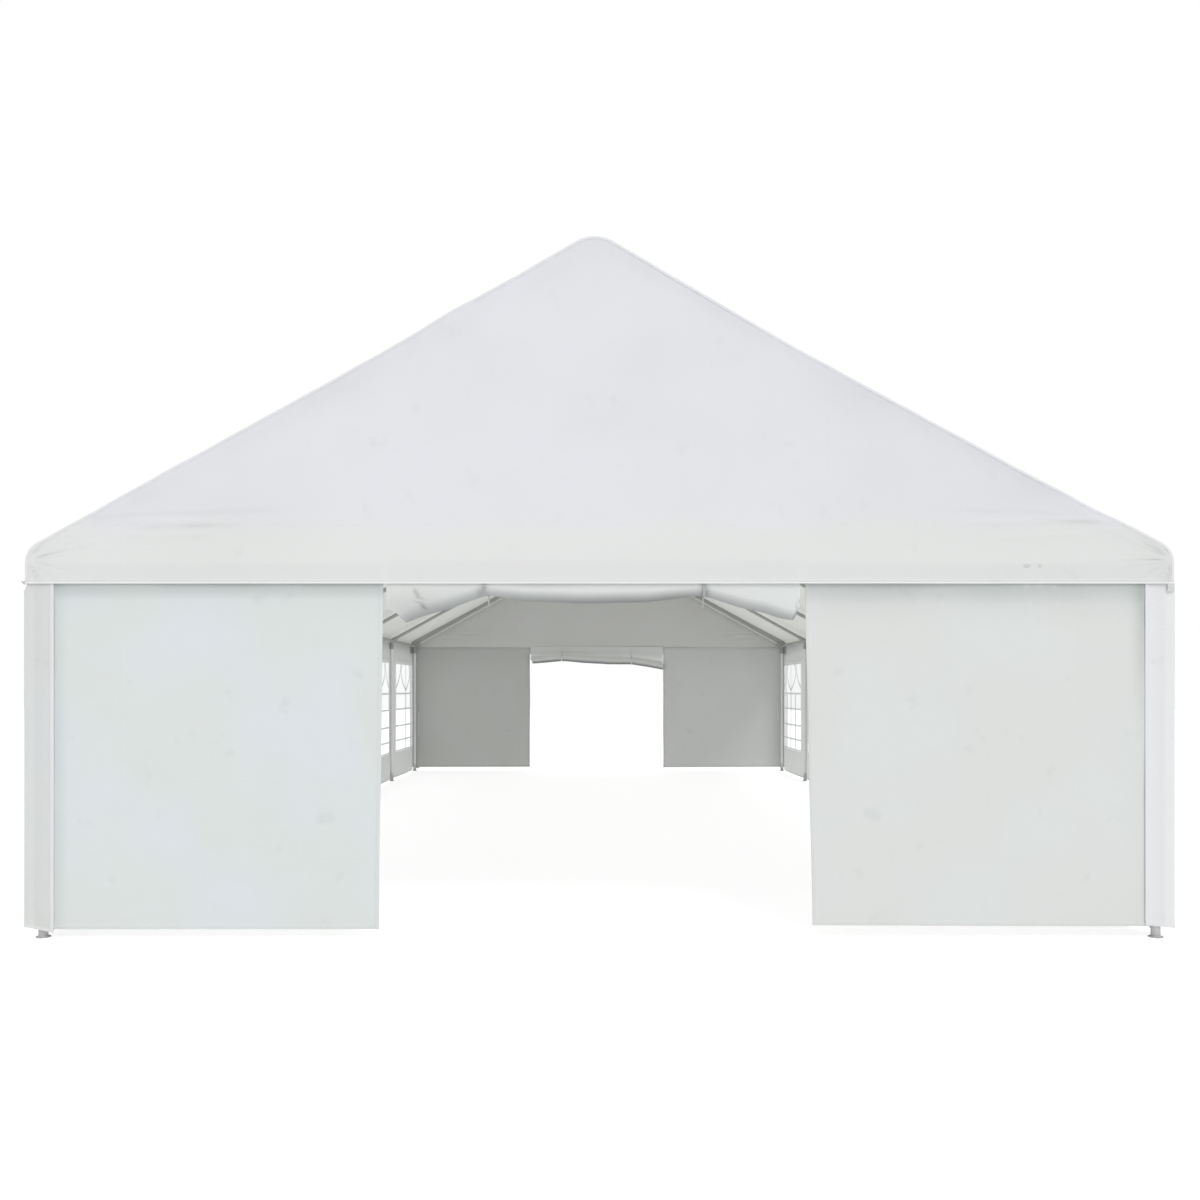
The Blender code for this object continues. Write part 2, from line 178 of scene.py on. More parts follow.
class Recipe:  # one material and the nodes put into it
    def __init__(self, name):
        self.material = bpy.data.materials.new(name)
        self.material.use_nodes = True
        self.tree = self.material.node_tree
        self.tree.nodes.clear()

    def node(self, kind, settings=None, inputs=None, output=0):
        made = self.tree.nodes.new(kind)
        for name, value in (settings or {}).items():
            setattr(made, name, value)
        for name, value in (inputs or {}).items():
            if isinstance(value, Signal):
                self.tree.links.new(value.socket, made.inputs[name])
            else:
                made.inputs[name].default_value = value
        return Signal(self, made.outputs[output]) if made.outputs else None

    def maths(self, operation, first, second=0.0):
        return self.node("ShaderNodeMath", {"operation": operation}, {0: first, 1: second})

    def clamped(self, value):  # kept between 0 and 1
        return self.maths("MINIMUM", self.maths("MAXIMUM", value), 1.0)

    def flat(self):  # the place on the flat pattern
        return self.node("ShaderNodeUVMap", {"uv_map": "flat"})

    def room(self):  # the place in the room
        return self.node("ShaderNodeTexCoord", None, None, 3)

    def part(self, vector, axis):
        return self.node("ShaderNodeSeparateXYZ", None, {0: vector}, axis)

    def mixed(self, factor, first, second):  # a blend of two colours
        return self.node("ShaderNodeMix", {"data_type": "RGBA"}, {0: factor, 6: first, 7: second}, 2)

    def noise(self, place, scale, detail=3.0, roughness=0.5, distortion=0.0):
        values = {"Vector": place, "Scale": scale, "Detail": detail, "Roughness": roughness}
        return self.node("ShaderNodeTexNoise", None, {**values, "Distortion": distortion})

    def stretched(self, place, scale):
        return self.node("ShaderNodeVectorMath", {"operation": "MULTIPLY"}, {0: place, 1: scale})

    def bumped(self, height):  # from heights in millimetres
        return self.node("ShaderNodeBump", None, {"Height": height, "Distance": 0.001, "Strength": 1.0})

    def principled(self, values):
        return self.node("ShaderNodeBsdfPrincipled", None, values)

    def blended(self, factor, first, second):  # a blend of two shaders
        return self.node("ShaderNodeMixShader", None, {0: factor, 1: first, 2: second})

    def ends(self, shader):
        self.node("ShaderNodeOutputMaterial", None, {"Surface": shader})
        return self.material


def clothMaterial(name, looks):
    # woven polyethylene tape with a coating on both faces
    make = Recipe(name)
    flat, room, math = make.flat(), make.room(), make.maths
    u, v, height = make.part(flat, 0), make.part(flat, 1), make.part(room, 2)
    edge = make.node("ShaderNodeAttribute", {"attribute_name": "edge"}, None, 2)
    paintedShading = make.node("ShaderNodeAttribute", {"attribute_name": "paintedShading"}, None, 2)

    # the weave: warp and weft tapes that pass over each other
    turn = pi / looks["tape"]
    warp = math("ABSOLUTE", math("SINE", u * turn))
    weft = math("ABSOLUTE", math("SINE", v * turn))
    over = math("SINE", u * (turn / 2)) * math("SINE", v * (turn / 2)) > 0.0
    weave = warp * over + weft * (1 - over)

    # folds left from the bag, in a loose grid, strong in some places and gone in others
    wander = make.noise(flat, 1.7, 2.0)
    strength = make.noise(flat, 0.9, 1.0)
    pressed = math("MAXIMUM", (strength - 0.42) * 4.0)
    along = math("PINGPONG", u + wander * 0.05, looks["packing"] / 2)
    across = math("PINGPONG", v + wander * 0.04, looks["packing"] * 0.42)
    foldLines = math("MAXIMUM", 1 - along / 0.010) + math("MAXIMUM", 1 - across / 0.010)
    packed = math("MINIMUM", foldLines * pressed, 1.2)

    # crackle of the stiff coating, and slow unevenness
    crackle = make.noise(make.stretched(flat, (1.0, 0.7, 1.0)), 9.0, 4.0, 0.6, 1.2)
    swell = make.noise(flat, 2.2, 3.0, 0.55)

    # two rows of stitches inside each hem, and the hem painted paler: partly its doubled cloth, partly a
    # painted highlight along it
    thread, apart = 0.0007, 0.005
    firstRow = math("ABSOLUTE", edge - looks["stitchAt"]) < thread
    secondRow = math("ABSOLUTE", edge - (looks["stitchAt"] - apart)) < thread
    dash = math("FRACT", (u + v) / looks["stitch"]) < 0.68
    stitches = (firstRow + secondRow) * dash
    groove = math("MAXIMUM", 1 - math("ABSOLUTE", edge - looks["stitchAt"]) / 0.006)
    pucker = make.noise(flat, 60.0, 1.0) * groove
    paleHemAndHighlight = edge < looks["hemWide"]

    # a sewn seam at one height, where the cloth below it has another tone
    wobble = make.noise(make.stretched(flat, (1.0, 0.2, 1.0)), 7.0, 2.0) * 0.012 - 0.006
    offSeam = height + wobble - looks["seamHeight"]
    broken = make.noise(make.stretched(flat, (1.0, 0.1, 1.0)), 5.0, 3.0, 0.7)
    seam = math("MAXIMUM", 1 - math("ABSOLUTE", offSeam) / 0.0040) * make.clamped((broken - 0.50) * 6.0)
    below = make.clamped(0.5 - (offSeam + wander * 0.20 - 0.10) / 0.09)

    # cool and warm patches, and small smudges from handling
    patches = make.clamped((make.noise(flat, 1.5, 2.0) - 0.44) * 7.0)
    smudges = math("MAXIMUM", (make.noise(flat, 5.5, 3.0, 0.5) - 0.64) * 4.0)
    # painted shade: the deep colour where the slow unevenness, which also raises the bump, lies low
    tint = make.mixed(swell, looks["deep"], looks["colour"])
    tint = make.mixed(patches, tint, looks["cool"])
    tint = make.mixed(below, tint, looks["lower"])
    # painted light and shade from each piece's attribute: paler towards the bright colour where it is
    # positive, darker towards the shade colour where it is negative
    tint = make.mixed(math("MAXIMUM", paintedShading), tint, looks["bright"])
    tint = make.mixed(math("MAXIMUM", paintedShading * -1.0), tint, looks["shade"])
    tint = make.mixed(math("MINIMUM", smudges * looks["smudge"], 0.5), tint, looks["shade"])
    # painted shade along the fold lines
    tint = make.mixed(packed * 0.10, tint, looks["deep"])
    grime = math("MAXIMUM", 1 - height / looks["grimeHeight"]) * make.noise(room, 3.0, 4.0, 0.65)
    tint = make.mixed(grime * 0.35, tint, looks["grime"])
    # the paler hem: its doubled cloth, and a painted highlight
    tint = make.mixed(paleHemAndHighlight * looks["hemBright"], tint, looks["bright"])
    tint = make.mixed(stitches * 0.5, tint, looks["deep"])
    tint = make.mixed(seam * 0.30, tint, looks["shade"])
    heights = weave * 0.05 + packed * looks["packed"] + crackle * looks["crackle"] + swell * looks["swell"]
    heights = heights + pucker * 0.5 - stitches * 0.2 - seam * 0.3
    normal = make.bumped(heights)
    gloss = looks["roughness"] + crackle * 0.12 - packed * 0.05 + grime * 0.15
    surface = make.principled(
        {"Base Color": tint, "Roughness": gloss, "IOR": 1.45, "Specular IOR Level": 0.35, "Normal": normal}
    )
    through = make.node("ShaderNodeBsdfTranslucent", None, {"Color": looks["through"], "Normal": normal})
    return make.ends(make.blended(looks["letsThrough"], surface, through))


def shades(colour, deep, cool):  # a cloth's own colour, a darker one painted as shade in its hollows and folds, and its cool patches
    return {"colour": (*colour, 1), "deep": (*deep, 1), "cool": (*cool, 1)}


roofLooks = {
    **shades((0.588, 0.602, 0.588), (0.560, 0.574, 0.561), (0.586, 0.600, 0.594)),
    "lower": (0.588, 0.602, 0.588, 1), "bright": (0.76, 0.77, 0.77, 1), "shade": (0.36, 0.38, 0.37, 1),
    "through": (0.90, 0.90, 0.83, 1), "letsThrough": 0.19, "roughness": 0.46, "smudge": 0.3,
    "tape": 0.0028, "packing": 0.62, "packed": 0.35, "crackle": 0.8, "swell": 2.2, "stitchAt": 0.018,
    "stitch": 0.0046, "hemWide": 0.013, "hemBright": 0.5, "grimeHeight": 0.01, "seamHeight": -1.0,
    "grime": (0.50, 0.48, 0.43, 1),
}
gableLooks = {
    **roofLooks, **shades((0.564, 0.570, 0.594), (0.546, 0.552, 0.576), (0.566, 0.570, 0.600)),
    "lower": (0.562, 0.570, 0.565, 1), "hemWide": 0.010, "hemBright": 0.55, "letsThrough": 0.05,
    "seamHeight": 2.18, "packed": 0.25,
}
# painted shade: a darker copy of the gable's cloth for the rear gable, which stands in shade inside
shadedRearGableLooks = {
    **gableLooks, **shades((0.530, 0.534, 0.520), (0.514, 0.518, 0.505), (0.528, 0.532, 0.525)),
    "lower": (0.521, 0.527, 0.514, 1), "letsThrough": 0.01,
}
wallLooks = {
    **shades((0.521, 0.553, 0.547), (0.509, 0.536, 0.530), (0.517, 0.552, 0.569)),
    "lower": (0.51, 0.54, 0.53, 1), "bright": (0.698, 0.704, 0.732, 1), "shade": (0.28, 0.31, 0.30, 1),
    "through": (0.86, 0.86, 0.83, 1), "letsThrough": 0.05, "roughness": 0.50, "smudge": 0.4,
    "tape": 0.0028, "packing": 0.48, "packed": 0.5, "crackle": 0.8, "swell": 1.8, "stitchAt": 0.018,
    "stitch": 0.0046, "hemWide": 0.019, "hemBright": 0.05, "grimeHeight": 0.15, "seamHeight": -1.0,
    "grime": (0.50, 0.48, 0.43, 1),
}
paleWallLooks = {
    **wallLooks, **shades((0.530, 0.540, 0.533), (0.512, 0.522, 0.514), (0.520, 0.543, 0.538)),
}
# painted shade: a darker copy of the wall's cloth for the rear left wall, which stands in shade inside
shadedRearWallLooks = {
    **wallLooks, **shades((0.440, 0.452, 0.432), (0.429, 0.440, 0.421), (0.438, 0.453, 0.441)),
    "letsThrough": 0.01,
}
rearPaleLooks = {
    **wallLooks, **shades((0.534, 0.541, 0.534), (0.519, 0.526, 0.519), (0.530, 0.541, 0.538)),
    "letsThrough": 0.01,
}
rollLooks = {
    **paleWallLooks, **shades((0.552, 0.562, 0.555), (0.533, 0.543, 0.535), (0.541, 0.564, 0.559)),
    "shade": (0.13, 0.14, 0.135, 1), "smudge": 0.12,
}
# painted light: a paler copy of the roll's cloth for the rear roll, with a paler bright colour for its groove
litRearRollLooks = {
    **rollLooks, **shades((0.600, 0.612, 0.598), (0.585, 0.596, 0.583), (0.596, 0.611, 0.601)),
    "bright": (0.90, 0.91, 0.90, 1), "letsThrough": 0.01,
}
sideLooks = {
    **wallLooks, **shades((0.600, 0.612, 0.605), (0.578, 0.590, 0.582), (0.590, 0.606, 0.608)),
    "letsThrough": 0.18, "hemBright": 0.55,
}
roofCloth = clothMaterial("roofClothCoated", roofLooks)
gableCloth = clothMaterial("gableClothCoated", gableLooks)
shadedRearGableCloth = clothMaterial("gableClothRearShaded", shadedRearGableLooks)
wallCloth = clothMaterial("wallClothCoated", wallLooks)
paleWallCloth = clothMaterial("wallClothPale", paleWallLooks)
shadedRearWallCloth = clothMaterial("wallClothRearShaded", shadedRearWallLooks)
rearPaleCloth = clothMaterial("wallClothRearPale", rearPaleLooks)
rollCloth = clothMaterial("rollClothCoated", rollLooks)
litRearRollCloth = clothMaterial("rollClothRearLit", litRearRollLooks)
sideCloth = clothMaterial("sideClothCoated", sideLooks)


def steelMaterial(name, looks):
    make = Recipe(name)
    room = make.room()
    spangles = {"Vector": room, "Scale": looks["spangles"]}
    grains = make.node("ShaderNodeTexVoronoi", {"feature": "F1"}, spangles, 1)
    grey = make.node("ShaderNodeSeparateColor", None, {0: grains}, 0)
    cloud = make.noise(room, 7.0, 4.0, 0.6)
    scratches = make.noise(make.stretched(room, (90.0, 90.0, 6.0)), 3.0, 3.0, 0.7)
    low = make.maths("POWER", make.maths("MAXIMUM", 1 - make.part(room, 2) / looks["footShadeHeight"]), 0.5)
    footShade = low * (make.noise(room, 22.0, 5.0, 0.7) * 0.5 + 0.5)  # painted shade, darkest at the ground
    tint = make.mixed(grey * 0.5 + cloud * 0.5, looks["dark"], looks["light"])
    # painted shade at the feet, which also makes them rougher
    tint = make.mixed(footShade * 0.9, tint, looks["footShade"])
    gloss = looks["roughness"] + grey * 0.10 + cloud * 0.12 + footShade * 0.3
    normal = make.bumped(cloud * 0.3 + scratches * 0.12 + grey * 0.05)
    values = {"Base Color": tint, "Metallic": 0.08, "Roughness": gloss, "Normal": normal}
    return make.ends(make.principled(values))


steelLooks = {
    "dark": (0.64, 0.65, 0.65, 1), "light": (0.80, 0.81, 0.81, 1), "footShade": (0.16, 0.16, 0.15, 1),
    "spangles": 95.0, "roughness": 0.42, "footShadeHeight": 0.13,
}
# painted shade: darker copies of the same galvanised steel, for the tubes under the roof and the rear rafters
shadedRoofSteelLooks = {**steelLooks, "dark": (0.28, 0.29, 0.28, 1), "light": (0.42, 0.43, 0.42, 1)}
shadedGableSteelLooks = {
    **steelLooks, "dark": (0.48, 0.49, 0.48, 1), "light": (0.60, 0.61, 0.60, 1), "roughness": 0.72,
}
tubeSteel = steelMaterial("galvanisedTube", steelLooks)
shadedRoofSteel = steelMaterial("galvanisedRoofTubeShaded", shadedRoofSteelLooks)
shadedGableSteel = steelMaterial("galvanisedGableTubeShaded", shadedGableSteelLooks)


def filmMaterial():
    make = Recipe("clearFilmSoft")
    flat = make.flat()
    waves = make.bumped(make.noise(flat, 5.0, 3.0, 0.5, 0.6) * 3.0)
    shine = {"Color": (1, 1, 1, 1), "Roughness": 0.08, "Normal": waves}
    glint = make.node("ShaderNodeBsdfGlossy", None, shine)
    veil = make.principled({"Base Color": (0.86, 0.88, 0.89, 1), "Roughness": 0.35})
    clear = make.node("ShaderNodeBsdfTransparent", None, {"Color": (0.99, 0.995, 0.995, 1)})
    edgeOn = make.node("ShaderNodeFresnel", None, {"IOR": 1.42})
    hazy = make.blended(make.noise(flat, 2.0, 3.0, 0.6) * 0.015, clear, veil)
    return make.ends(make.blended(edgeOn * 0.12, hazy, glint))


def printMaterial():
    make = Recipe("windowPrintWhite")
    patchy = make.noise(make.flat(), 30.0, 4.0, 0.6)
    tint = make.mixed(patchy, (0.62, 0.64, 0.64, 1), (0.72, 0.73, 0.73, 1))
    surface = make.principled(
        {"Base Color": tint, "Roughness": 0.32 + patchy * 0.15, "Normal": make.bumped(patchy * 0.1)}
    )
    through = make.node("ShaderNodeBsdfTranslucent", None, {"Color": (0.85, 0.86, 0.86, 1)})
    return make.ends(make.blended(0.20, surface, through))


def webbingMaterial(name, dark, light):
    make = Recipe(name)
    flat = make.flat()
    u, v = make.part(flat, 0), make.part(flat, 1)
    turn = 2 * pi / 0.0022  # a rib every 2.2 mm
    ribs, crossing = make.maths("SINE", (u + v) * turn), make.maths("SINE", (u - v) * turn)
    fuzz = make.noise(flat, 400.0, 3.0, 0.7)
    tint = make.mixed(ribs * 0.25 + 0.5, dark, light)
    normal = make.bumped(ribs * crossing * 0.25 + fuzz * 0.2)
    return make.ends(make.principled({"Base Color": tint, "Roughness": 0.72 + fuzz * 0.15, "Normal": normal}))


clearFilm = filmMaterial()
windowPrint = printMaterial()
webbing = webbingMaterial("tieWebbing", (0.30, 0.31, 0.31, 1), (0.42, 0.43, 0.43, 1))
# painted light: a paler copy of the ties' webbing for the rear ties, which stand in shade inside
litRearWebbing = webbingMaterial("rearWebbingLit", (0.52, 0.53, 0.52, 1), (0.64, 0.65, 0.64, 1))
paleWebbing = webbingMaterial("cornerWebbing", (0.48, 0.49, 0.49, 1), (0.58, 0.59, 0.59, 1))
print("materials made")


# Putting pieces in
def put(name, mesh, material, replaces=()):
    piece = bpy.data.objects.new(name, mesh)
    bpy.context.scene.collection.objects.link(piece)
    mesh.update()
    mesh.materials.append(material)
    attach(piece, "root")
    if replaces:
        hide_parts(*replaces)
    return piece


def patterned(name, points, faces, flat):
    # a mesh that keeps the places of its points on the flat pattern
    mesh = bpy.data.meshes.new(name)
    mesh.from_pydata(points, [], faces)
    corners = np.zeros(len(mesh.loops), int)
    mesh.loops.foreach_get("vertex_index", corners)
    mesh.uv_layers.new(name="flat").data.foreach_set("uv", np.array(flat, float)[corners].ravel())
    return mesh


def clothPiece(name, us, vs, place, material, replaces=(), keep=None, edge=1.0, pattern=None, paintedShading=0.0):
    # a sheet on a grid of its flat pattern: us across and vs up, in metres, and place puts it in the room;
    # edge and the painted light and shade are numbers or functions of u and v
    u, v = np.meshgrid(us, vs)
    points = np.stack(place(u, v), axis=-1).reshape(-1, 3)
    index = np.arange(u.size).reshape(u.shape)
    quads = np.stack([index[:-1, :-1], index[:-1, 1:], index[1:, 1:], index[1:, :-1]], axis=-1).reshape(-1, 4)
    if keep is not None:
        quads = quads[keep((u[:-1, :-1] + u[1:, 1:]) / 2, (v[:-1, :-1] + v[1:, 1:]) / 2).ravel()]
    flat = np.stack((u, v) if pattern is None else pattern(u, v), axis=-1).reshape(-1, 2)
    used = np.unique(quads)
    renumbered = np.zeros(u.size, int)
    renumbered[used] = np.arange(len(used))
    mesh = patterned(name, points[used].tolist(), renumbered[quads].tolist(), flat[used])
    for label, value in (("edge", edge), ("paintedShading", paintedShading)):
        values = np.broadcast_to(value(u, v) if callable(value) else value, u.shape).ravel()
        mesh.attributes.new(label, "FLOAT", "POINT").data.foreach_set("value", values[used])
    mesh.shade_smooth()
    return put(name, mesh, material, replaces)


# The roof cover's section
def coverSection():
    # the outer face of one slope: (along the section from the ridge, across, up), and what it faces
    ridgeCentre = tent["coverApex"] - tent["ridgeRound"] / cos(pitch)
    shoulderX = tent["coverHalfWidth"] - tent["shoulderRound"]
    shoulderZ = tent["coverApex"] - tent["slope"] * shoulderX - tent["shoulderRound"] / cos(pitch)
    start = tent["ridgeRound"] * sin(pitch)
    end = shoulderX + tent["shoulderRound"] * sin(pitch)
    turned = pi / 2 - pitch
    points = []
    for angle in np.linspace(pi / 2, turned, 13)[:-1]:
        points.append((tent["ridgeRound"] * cos(angle), ridgeCentre + tent["ridgeRound"] * sin(angle)))
    for share in np.linspace(0, 1, 121):
        x = start + (end - start) * share
        sag = tent["coverSag"] * (1 - (2 * share - 1) ** 2)
        points.append((x, tent["coverApex"] - tent["slope"] * x - sag))
    for angle in np.linspace(turned, 0, 17)[1:]:
        out, up = tent["shoulderRound"] * cos(angle), tent["shoulderRound"] * sin(angle)
        points.append((shoulderX + out, shoulderZ + up))
    points.append((tent["coverHalfWidth"], tent["valanceHem"] - 0.05))
    points = np.array(points)
    along = np.concatenate([[0], np.cumsum(np.hypot(*np.diff(points, axis=0).T))])
    return along, points[:, 0], points[:, 1], shoulderZ


sectionAlong, sectionX, sectionZ, shoulderZ = coverSection()
shoulderAlong = float(np.interp(-shoulderZ, -sectionZ, sectionAlong))  # where the valance begins
hemAlong = shoulderAlong + shoulderZ - tent["valanceHem"]
purlinAlong = float(np.interp(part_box("purlin_right")[1].x, sectionX, sectionAlong))


def sectionAt(along):
    # a place on the section, with its outward direction; negative on the left
    side = np.where(along < 0, -1.0, 1.0)
    distance, step = np.abs(along), 0.012
    places = (distance, distance + step, np.maximum(distance - step, 0))
    x, xAhead, xBehind = (np.interp(place, sectionAlong, sectionX) for place in places)
    z, zAhead, zBehind = (np.interp(place, sectionAlong, sectionZ) for place in places)
    dx, dz = xAhead - xBehind, zAhead - zBehind
    size = np.hypot(dx, dz)
    return side * x, z, side * -dz / size, dx / size


# how the front edge of the roof hangs off its true line: over which stretches along and across the tent
# that fades, how far the edge is moved across, and how deep its small scallops are
frontEdge = {
    "fade": (-5.95, -4.9), "inner": (2.2, 2.95), "across": -0.026, "scallop": 0.0022,
    # it stands up beside the ridge on the left, and hangs low in two places on the right: across, width, rise
    "places": ((-0.74, 0.16, 0.010), (1.05, 0.45, -0.010), (2.62, 0.12, -0.006)),
}


def frontLine(x, y):
    near, inner = 1 - smooth(*frontEdge["fade"], y), 1 - smooth(*frontEdge["inner"], np.abs(x))
    rise = near * sum(size * bump(place, width, x) for place, width, size in frontEdge["places"])
    return frontEdge["across"] * near * inner, rise + near * frontEdge["scallop"] * drift(x * 6.0, 0, 4)


roofSet = {
    "step": 0.036, "acrossStep": 0.034, "bagFrame": 0.004, "bagBay": 0.010,
    "seamWidth": 0.016, "seamThick": 0.0012, "sewnField": 0.5, "ridgeFlat": 0.10, "hemClear": 0.034,
}
roofReach = gableOuter - 0.006


def roofLift(along, y):
    # how far the cover stands off its section: it sags between its supports and gathers at its seams
    distance = np.abs(along)
    upper = np.clip(distance / purlinAlong, 0, 1)
    lower = np.clip((distance - purlinAlong) / (shoulderAlong - 0.10 - purlinAlong), 0, 1)
    span = np.sin(pi * upper) ** 2 + np.sin(pi * lower) ** 2
    fromFrame, fromEnd = fromFrames(y), tent["halfLength"] - np.abs(y)
    inner = smooth(0, 0.35, fromEnd)
    lift = -span * (roofSet["bagFrame"] + roofSet["bagBay"] * np.sin(fromFrame * pi / 2) ** 2) * inner
    free = smooth(shoulderAlong - 0.05, hemAlong, distance)  # the valance hangs free
    loose = (1 - free) * inner * (1 - 0.8 * bump(purlinAlong, 0.07, distance))
    lift = lift + 0.0035 * loose * crumple(along * 1.3, y * 0.9, 3)
    lift = lift + 0.0016 * loose * crumple(along * 4.0, y * 3.0, 6)
    lift = lift + inner * free * (0.0055 * drift(y * 2.6, along, 8) + 0.0025 * drift(y * 7.0, along * 2, 9))
    corner = bump(0, 0.35, fromEnd) * smooth(0.03, 0.14, fromEnd) * bump(shoulderAlong, 0.5, distance)
    lift = lift + corner * 0.004 * drift((y + distance) * 7.0, distance, 10)
    fromSeam = fromFrame * tent["bay"] / 2
    pucker = bump(0, 0.05, fromSeam) * drift(along * 22.0, y * 3, 11)
    overlap = 1 - smooth(roofSet["seamWidth"], roofSet["seamWidth"] + 0.004, fromSeam)
    return lift + (pucker + overlap) * roofSet["seamThick"] * (fromEnd > roofSet["sewnField"])


def placeRoof(u, v):
    # u runs along the ridge from the front, and v over the roof from the left hem to the right one
    y = u - roofReach
    inset, rise = folded(hemAlong - np.abs(v))
    along = np.where(v < 0, -1.0, 1.0) * (hemAlong - inset)
    x, z, outX, outZ = sectionAt(along)
    across, drop = frontLine(x, y)
    lift = roofLift(along, y) + rise - 0.0015
    return x + across + outX * lift, y, z + drop + outZ * lift


print("roof cover")
seamParts = [way * (roofSet["seamWidth"] + part) for way in (-1, 1) for part in (0, 0.004)]
seamLines = [roofReach + place + part for place in framePlaces[1:-1] for part in seamParts]
roofUs = lines(0, 2 * roofReach, roofSet["step"], seamLines + [0.03, 2 * roofReach - 0.03])
shoulderLines = [shoulderAlong - 0.06, shoulderAlong - 0.12]
sideVs = lines(roofSet["ridgeFlat"], hemAlong - roofSet["hemClear"], roofSet["acrossStep"], shoulderLines)
halfVs = np.unique(np.concatenate([np.linspace(0, roofSet["ridgeFlat"], 6), sideVs, hemAtHigh(hemAlong)]))
roof = clothPiece(
    "roofSkin", roofUs, mirrored(halfVs), placeRoof, roofCloth,
    ["roof_cover_left", "roof_cover_right"], edge=lambda u, v: hemAlong - np.abs(v),
)
2 * hemAlong + 2 * hem["turned"]


# Gable covers
gableSet = {
    "step": 0.026, "rows": 66, "seam": 2.18, "fan": 0.0080, "fanReach": 0.13, "billow": 0.006,
    "hem": 0.03, "fineEnd": 0.22, "flat": (6.06, 1.86), "area": 6.15, "seeds": {-1: 20, 1: 40},
    "shoulder": (3.01, 2.0),  # where the folds of a shoulder spread from
    "rafters": {-1: "rafter_left_1", 1: "rafter_left_7"}, "cloths": {-1: gableCloth, 1: shadedRearGableCloth},
    # the sewn edge: how round its corner is, how wide it lies on the gable, how much painted light pales it,
    # its lines across
    "binding": {
        "corner": 0.006, "inFront": 0.010, "step": 0.022, "paintedShading": 0.10,
        "vs": (0, 0.005, 0.010, 0.0123, 0.0147, 0.017, 0.0194, 0.026, 0.034),
    },
    # two long shallow folds that run in from each shoulder: height, start, stop, size
    "folds": ((2.235, 0.12, 1.25, 0.0030), (2.155, 0.35, 1.05, 0.0024)),
    # soft grey patches of painted shade: across, height, width, darkness
    "patches": (
        (-1.40, 2.91, 0.18, 0.10), (1.35, 2.90, 0.24, 0.14), (2.30, 2.37, 0.22, 0.12),
        (-2.0, 2.15, 0.5, 0.10), (0.20, 3.07, 0.22, 0.05), (0.08, 2.73, 0.30, 0.05),
    ),
    # painted shadows of folds, as streaks by the shoulders: side, height at the outer end, how far out it
    # starts and stops, darkness
    "streaks": (
        (-1, 2.225, 2.80, 1.55, 0.26), (-1, 2.165, 2.55, 1.75, 0.30), (-1, 2.12, 2.35, 1.95, 0.20),
        (1, 2.195, 2.80, 2.20, 0.42), (1, 2.235, 2.62, 1.70, 0.20),
    ),
}


def shoulderFan(x, z, end):
    # folds that spread from each shoulder, and the distance from it
    seed, side = gableSet["seeds"][end], np.where(x < 0, -1.0, 1.0)
    inward, up = (side * gableSet["shoulder"][0] - x) * side, z - gableSet["shoulder"][1]
    reach, turn = np.hypot(inward, up), np.arctan2(up, inward)
    wander = drift(reach * 2.5, turn * 2.0, seed + 3)
    return creased(turn * 7.0 + wander * 0.7 + side, reach * 0.8, seed + 6), reach


def gableLift(x, z, end):
    # how far the gable's cloth stands out of its plane
    seed = gableSet["seeds"][end]
    lift = gableSet["billow"] * drift(x * 0.7, z * 1.1, seed) + 0.0028 * drift(x * 2.2, z * 3.0, seed + 1)
    fan, reach = shoulderFan(x, z, end)
    lift = lift + gableSet["fan"] * fan * np.exp(-reach / gableSet["fanReach"]) * smooth(0.03, 0.10, reach)
    for side in (-1, 1):
        inward = (side * 2.99 - x) * side
        for height, start, stop, size in gableSet["folds"]:
            ridge = bump(height - 0.05 * inward + 0.012 * drift(x * 3.0, 0, seed + 9), 0.014, z)
            reached = smooth(start, start + 0.25, inward) * (1 - smooth(stop - 0.4, stop, inward))
            lift = lift + size * ridge * reached
    seam = bump(gableSet["seam"], 0.007, z)
    lift = lift - seam * (0.0006 + 0.0006 * drift(x * 14.0, 0, seed + 11))
    below = 1 - smooth(gableSet["seam"] - 0.12, gableSet["seam"], z)
    lift = lift + below * 0.0022 * drift(x * 3.2, z * 1.2, seed + 12)
    flare = np.clip((2.10 - z) / 0.22, 0, 1) ** 2 * (0.004 + 0.003 * drift(x * 0.9, 0, seed + 14))
    return lift + flare * smooth(0.0, 0.35, 3.0 - np.abs(x))


def gablePaintedShade(x, z, end):
    # painted shade: greyer in a band inside each slope, in a few soft patches and in streaks by the shoulders
    fromSlope = (tent["coverApex"] - tent["slope"] * np.abs(x) - z) * cos(pitch)
    slopeBandShade = 1 - smooth(0.01, 0.13, np.minimum(fromSlope, tent["coverHalfWidth"] - np.abs(x)))
    paintedShading = -slopeBandShade * np.maximum(0.02 + 0.10 * drift(x * 5.0, z * 5.0, 30 + end), 0) * (1.0 if end < 0 else 0.3)
    for across, height, wide, amount in gableSet["patches"]:
        paintedShading = paintedShading - amount * bump(across, wide, x) * bump(height, wide * 0.6, z)
    for side, height, start, stop, amount in gableSet["streaks"]:
        run = side * x
        wander = height + 0.018 * drift(x * 2.4, 0, 33) - 0.04 * (run - start)
        reached = smooth(stop, stop + 0.3, run) * (1 - smooth(start - 0.25, start, run))
        paintedShading = paintedShading - amount * bump(wander, 0.010, z) * reached * (0.6 + 0.6 * drift(x * 6.0, z * 12.0, 34))
    # painted shade: the front gable darker towards its right side
    paintedShading = paintedShading - 0.08 * smooth(-0.5, 2.0, x) * (end < 0)
    # painted shadow in the pinched folds at the shoulders
    fan, reach = shoulderFan(x, z, end)
    pinchShadow = np.clip(0.75 - fan, 0, 1) * np.exp(-reach / 0.075) * smooth(0.02, 0.06, reach)
    return np.clip(paintedShading - 1.1 * pinchShadow, -0.9, 0)


